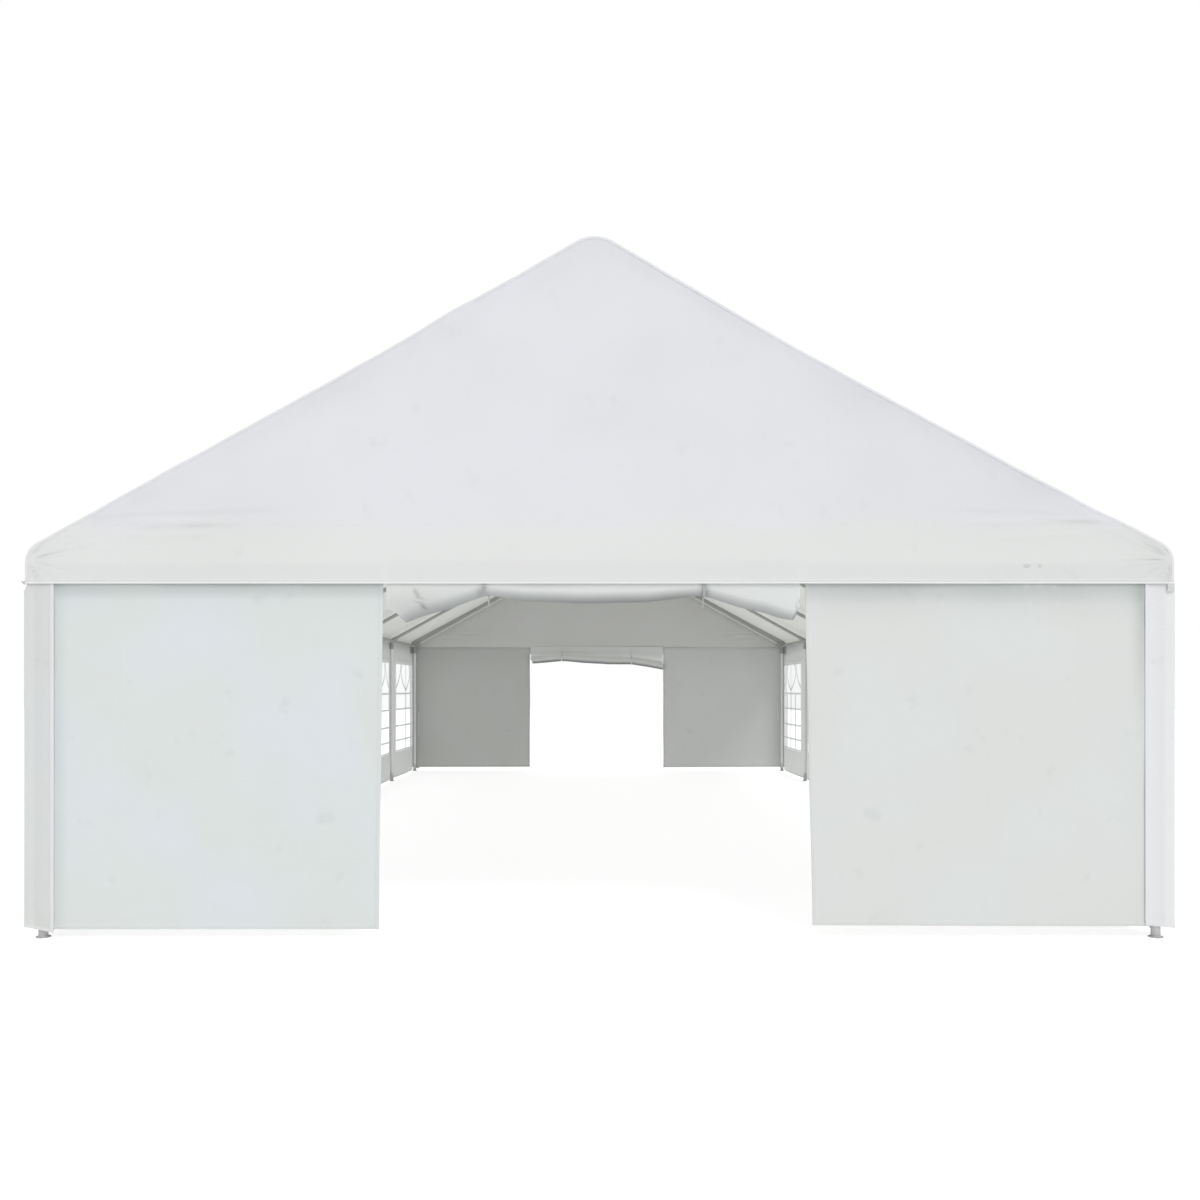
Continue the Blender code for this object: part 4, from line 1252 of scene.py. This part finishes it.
def addBolt(shape, place, out):
    # a hexagon head on its washer
    place, out = Vector(place), Vector(out).normalized()
    washer, head = steelSet["washer"], steelSet["bolt"]
    ring = [(0, washer), (0.0016, washer), (0.0021, washer - 0.0006)]
    turned(shape, place - out * 0.0005, place + out, ring, 20)
    turned(shape, place + out * 0.0015, place + out, [(0, head), (0.0042, head), (0.0050, head * 0.86)], 6)


def addWeld(shape, place, out, radius):
    # the bead round the foot of a tube
    rise = steelSet["weld"]
    bead = [(rise * up, radius + rise * wide) for up, wide in ((0, 1), (0.35, 0.75), (0.8, 0.3), (1, 0))]
    turned(shape, place, Vector(place) + Vector(out), bead, 40)


def downSlope(side):  # along a rafter from the ridge
    return Vector((side * cos(pitch), 0, -sin(pitch)))


def underSlope(side):  # straight down from a rafter
    return Vector((-side * sin(pitch), 0, -cos(pitch)))


def steelPiece(name, shape, node):
    mesh = bpy.data.meshes.new(name)
    shape.to_mesh(mesh)
    shape.free()
    mesh.shade_smooth()
    mesh.set_sharp_from_angle(angle=radians(32))
    # tubes under the roof and the rear rafters take the steel painted darker as shade
    steel = tubeSteel if node.startswith("post") else shadedGableSteel if node.endswith("_7") else shadedRoofSteel
    return put(name, mesh, steel, [node])


def buildPost(side, y):
    shape, x = bmesh.new(), side * tent["halfWidth"]
    (wide, high), cut, overlap = steelSet["plate"], steelSet["plateEdge"], steelSet["overlap"]
    plate = [(0, wide - cut), (cut, wide), (high - cut, wide), (high, wide - cut)]
    turned(shape, (x, y, 0), (x, y, 1), plate, 40)
    addWeld(shape, (x, y, high - 0.0004), (0, 0, 1), tent["socket"])
    addSocket(shape, (x, y, high - 0.001), (x, y, tent["footSleeve"]))
    addBolt(shape, (x - side * tent["socket"], y, steelSet["boltAt"]["foot"]), (-side, 0, 0))
    addTube(shape, (x, y, tent["footSleeve"] - overlap), (x, y, eaveHeight - tent["postArm"] + overlap))
    return shape


def buildEaveRail(side):
    # the rail and its connectors, each with arms to the post, the rafter and the rail
    shape, x = bmesh.new(), side * tent["halfWidth"]
    reach, arm, boltAt = tent["halfLength"], tent["eaveArm"], steelSet["boltAt"]
    addTube(shape, (x, -reach, eaveHeight), (x, reach, eaveHeight), tubeJoints)
    up, under, inward = -downSlope(side), underSlope(side), Vector((-side, 0, 0))
    for y in framePlaces:
        centre = Vector((x, y, eaveHeight))
        inside = centre + inward * tent["socket"]
        for way in (-1, 1):
            if abs(y + way * arm) < reach:
                addSocket(shape, centre, centre + Vector((0, way * arm, 0)))
                addBolt(shape, inside + Vector((0, way * boltAt["eave"], 0)), inward)
        addSocket(shape, centre, centre + Vector((0, 0, -tent["postArm"])))
        addBolt(shape, inside + Vector((0, 0, -boltAt["post"])), inward)
        addSocket(shape, centre, centre + up * arm)
        addBolt(shape, centre + up * boltAt["rafterLow"] + under * tent["socket"], under)
        turned(shape, centre, centre + Vector((0, 0, 1)), steelSet["dome"])
    return shape


def buildRidgeBeam():
    shape, reach = bmesh.new(), tent["halfLength"]
    addTube(shape, (0, -reach, ridgeHeight), (0, reach, ridgeHeight), tubeJoints)
    for y in framePlaces:
        centre, apex = Vector((0, y, ridgeHeight)), Vector((0, y, rafterApex))
        for way in (-1, 1):
            limit = min(tent["ridgeArm"], reach + tent["socket"] - way * y)
            addSocket(shape, centre, centre + Vector((0, way * limit, 0)))
        turned(shape, apex - Vector((0, 0, steelSet["hubDrop"])), apex + Vector((0, 0, 1)), steelSet["hub"])
        for side in (-1, 1):
            down, under = downSlope(side), underSlope(side)
            addSocket(shape, apex, apex + down * tent["ridgeArm"])
            addBolt(shape, apex + down * steelSet["boltAt"]["rafterHigh"] + under * tent["socket"], under)
    return shape


def buildRafter(side, y):
    shape, apex, overlap = bmesh.new(), Vector((0, y, rafterApex)), steelSet["overlap"]
    start = apex + downSlope(side) * (tent["ridgeArm"] - overlap)
    end = apex + downSlope(side) * (tent["halfWidth"] / cos(pitch) - tent["eaveArm"] + overlap)
    addTube(shape, start, end, [(end - start).length / 2])
    return shape


def buildPurlin(side, low, high):
    shape, half = bmesh.new(), steelSet["clipHalf"]
    x, z = (low.x + high.x) / 2, (low.z + high.z) / 2
    addTube(shape, (x, low.y, z), (x, high.y, z), tubeJoints)
    for y in framePlaces:
        # the clip that holds the purlin down on its rafter
        turned(shape, (x, y - half, z), (x, y + half, z), steelSet["clip"])
    for vert in shape.verts:
        # it gives way where the front edge of the cover hangs low
        across, drop = frontLine(x, vert.co.y)
        vert.co.z += min(0.0, float(drop + side * tent["slope"] * across) - 0.001)
    return shape


print("steelwork")
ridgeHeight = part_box("ridge_beam")[1].z - tent["socket"]
rafterApex = eaveHeight + tent["slope"] * tent["halfWidth"]
for side, sideName, sideNode in sides:
    for number, y in enumerate(framePlaces, 1):
        steelPiece(f"post{sideName}{number}", buildPost(side, y), f"post_{sideNode}_{number}")
for side, sideName, sideNode in sides:
    steelPiece("eaveRail" + sideName, buildEaveRail(side), "eave_rail_" + sideNode)
steelPiece("ridgeBeam", buildRidgeBeam(), "ridge_beam")
for side, sideName, sideNode in sides:
    for number, y in enumerate(framePlaces, 1):
        steelPiece(f"rafter{sideName}{number}", buildRafter(side, y), f"rafter_{sideNode}_{number}")
    steelPiece("purlin" + sideName, buildPurlin(side, *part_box("purlin_" + sideNode)), "purlin_" + sideNode)


# Small trim at the front corners: a sewn tab on the right one, and the end of a strap on the left one
cornerTrim = {
    "tab": {"across": 3.012, "up": 1.852, "wide": 0.037, "high": 0.047},
    "strap": {"across": -3.034, "up": 1.884, "wide": 0.034, "step": (0.004, 0.0018)},
}
tab, strapEnd = cornerTrim["tab"], cornerTrim["strap"]
tabPath, strapPath = [], []
for step in range(9):
    bulge = 0.0005 + 0.002 * sin(step / 8 * pi)
    tabPath.append((-gableOuter - bulge, tab["up"] + tab["high"] * (0.5 - step / 8)))
    strapPath.append((-gableOuter + strapEnd["step"][0] * step, strapEnd["up"] - strapEnd["step"][1] * step))
strap("cornerTab", tabPath, tab["wide"], tab["across"], paleWebbing)
strap("cornerStrapEnd", strapPath, strapEnd["wide"], strapEnd["across"], paleWebbing)


# Floor, light and camera
stageSet = {
    "size": 60.0, "floor": (0.52, 0.52, 0.52, 1), "cloud": (0.50, 0.50, 0.50, 1), "glow": 0.66,
    "sky": 1.0, "sun": 1.35, "sunTurn": (38, 0, 32), "sunSoft": 25,
}
cameraSet = {"lens": 33.47, "sensor": 36.0, "shift": (0.0019, 0.0738), "place": (-0.0095, -11.919, 1.318)}


def floorMaterial():
    make = Recipe("paleFloor")
    room = make.room()
    tint = make.mixed(make.noise(room, 0.6, 4.0, 0.6), stageSet["floor"], stageSet["cloud"])
    grain = make.noise(room, 180.0, 3.0, 0.6)
    glow = {"Emission Color": (1, 1, 1, 1), "Emission Strength": stageSet["glow"]}
    return make.ends(make.principled({
        "Base Color": tint, "Roughness": 0.75 + grain * 0.1, "Specular IOR Level": 0.2,
        "Normal": make.bumped(grain * 0.2), **glow,
    }))


print("floor, light and camera")
size = stageSet["size"]
floorCorners = [(-size, -size, 0), (size, -size, 0), (size, size, 0), (-size, size, 0)]
floorMesh = bpy.data.meshes.new("floor")
floorMesh.from_pydata(floorCorners, [], [(0, 1, 2, 3)])
floorMesh.materials.append(floorMaterial())
floor = bpy.data.objects.new("floor", floorMesh)
bpy.context.scene.collection.objects.link(floor)

world = bpy.data.worlds.new("studio")
bpy.context.scene.world = world
world.use_nodes = True
sky = world.node_tree.nodes["Background"]
sky.inputs["Color"].default_value = (1, 1, 1, 1)
sky.inputs["Strength"].default_value = stageSet["sky"]
sun = bpy.data.lights.new("softSun", "SUN")
sun.energy, sun.angle = stageSet["sun"], radians(stageSet["sunSoft"])
sunObject = bpy.data.objects.new("softSun", sun)
sunObject.rotation_euler = [radians(angle) for angle in stageSet["sunTurn"]]
bpy.context.scene.collection.objects.link(sunObject)

camera = bpy.data.cameras.new("camera")
camera.lens, camera.sensor_width = cameraSet["lens"], cameraSet["sensor"]
camera.shift_x, camera.shift_y = cameraSet["shift"]
cameraObject = bpy.data.objects.new("camera", camera)
cameraObject.location = cameraSet["place"]
cameraObject.rotation_euler = (pi / 2, 0, 0)
bpy.context.scene.collection.objects.link(cameraObject)
bpy.context.scene.camera = cameraObject
bpy.context.scene.view_settings.view_transform = "Standard"
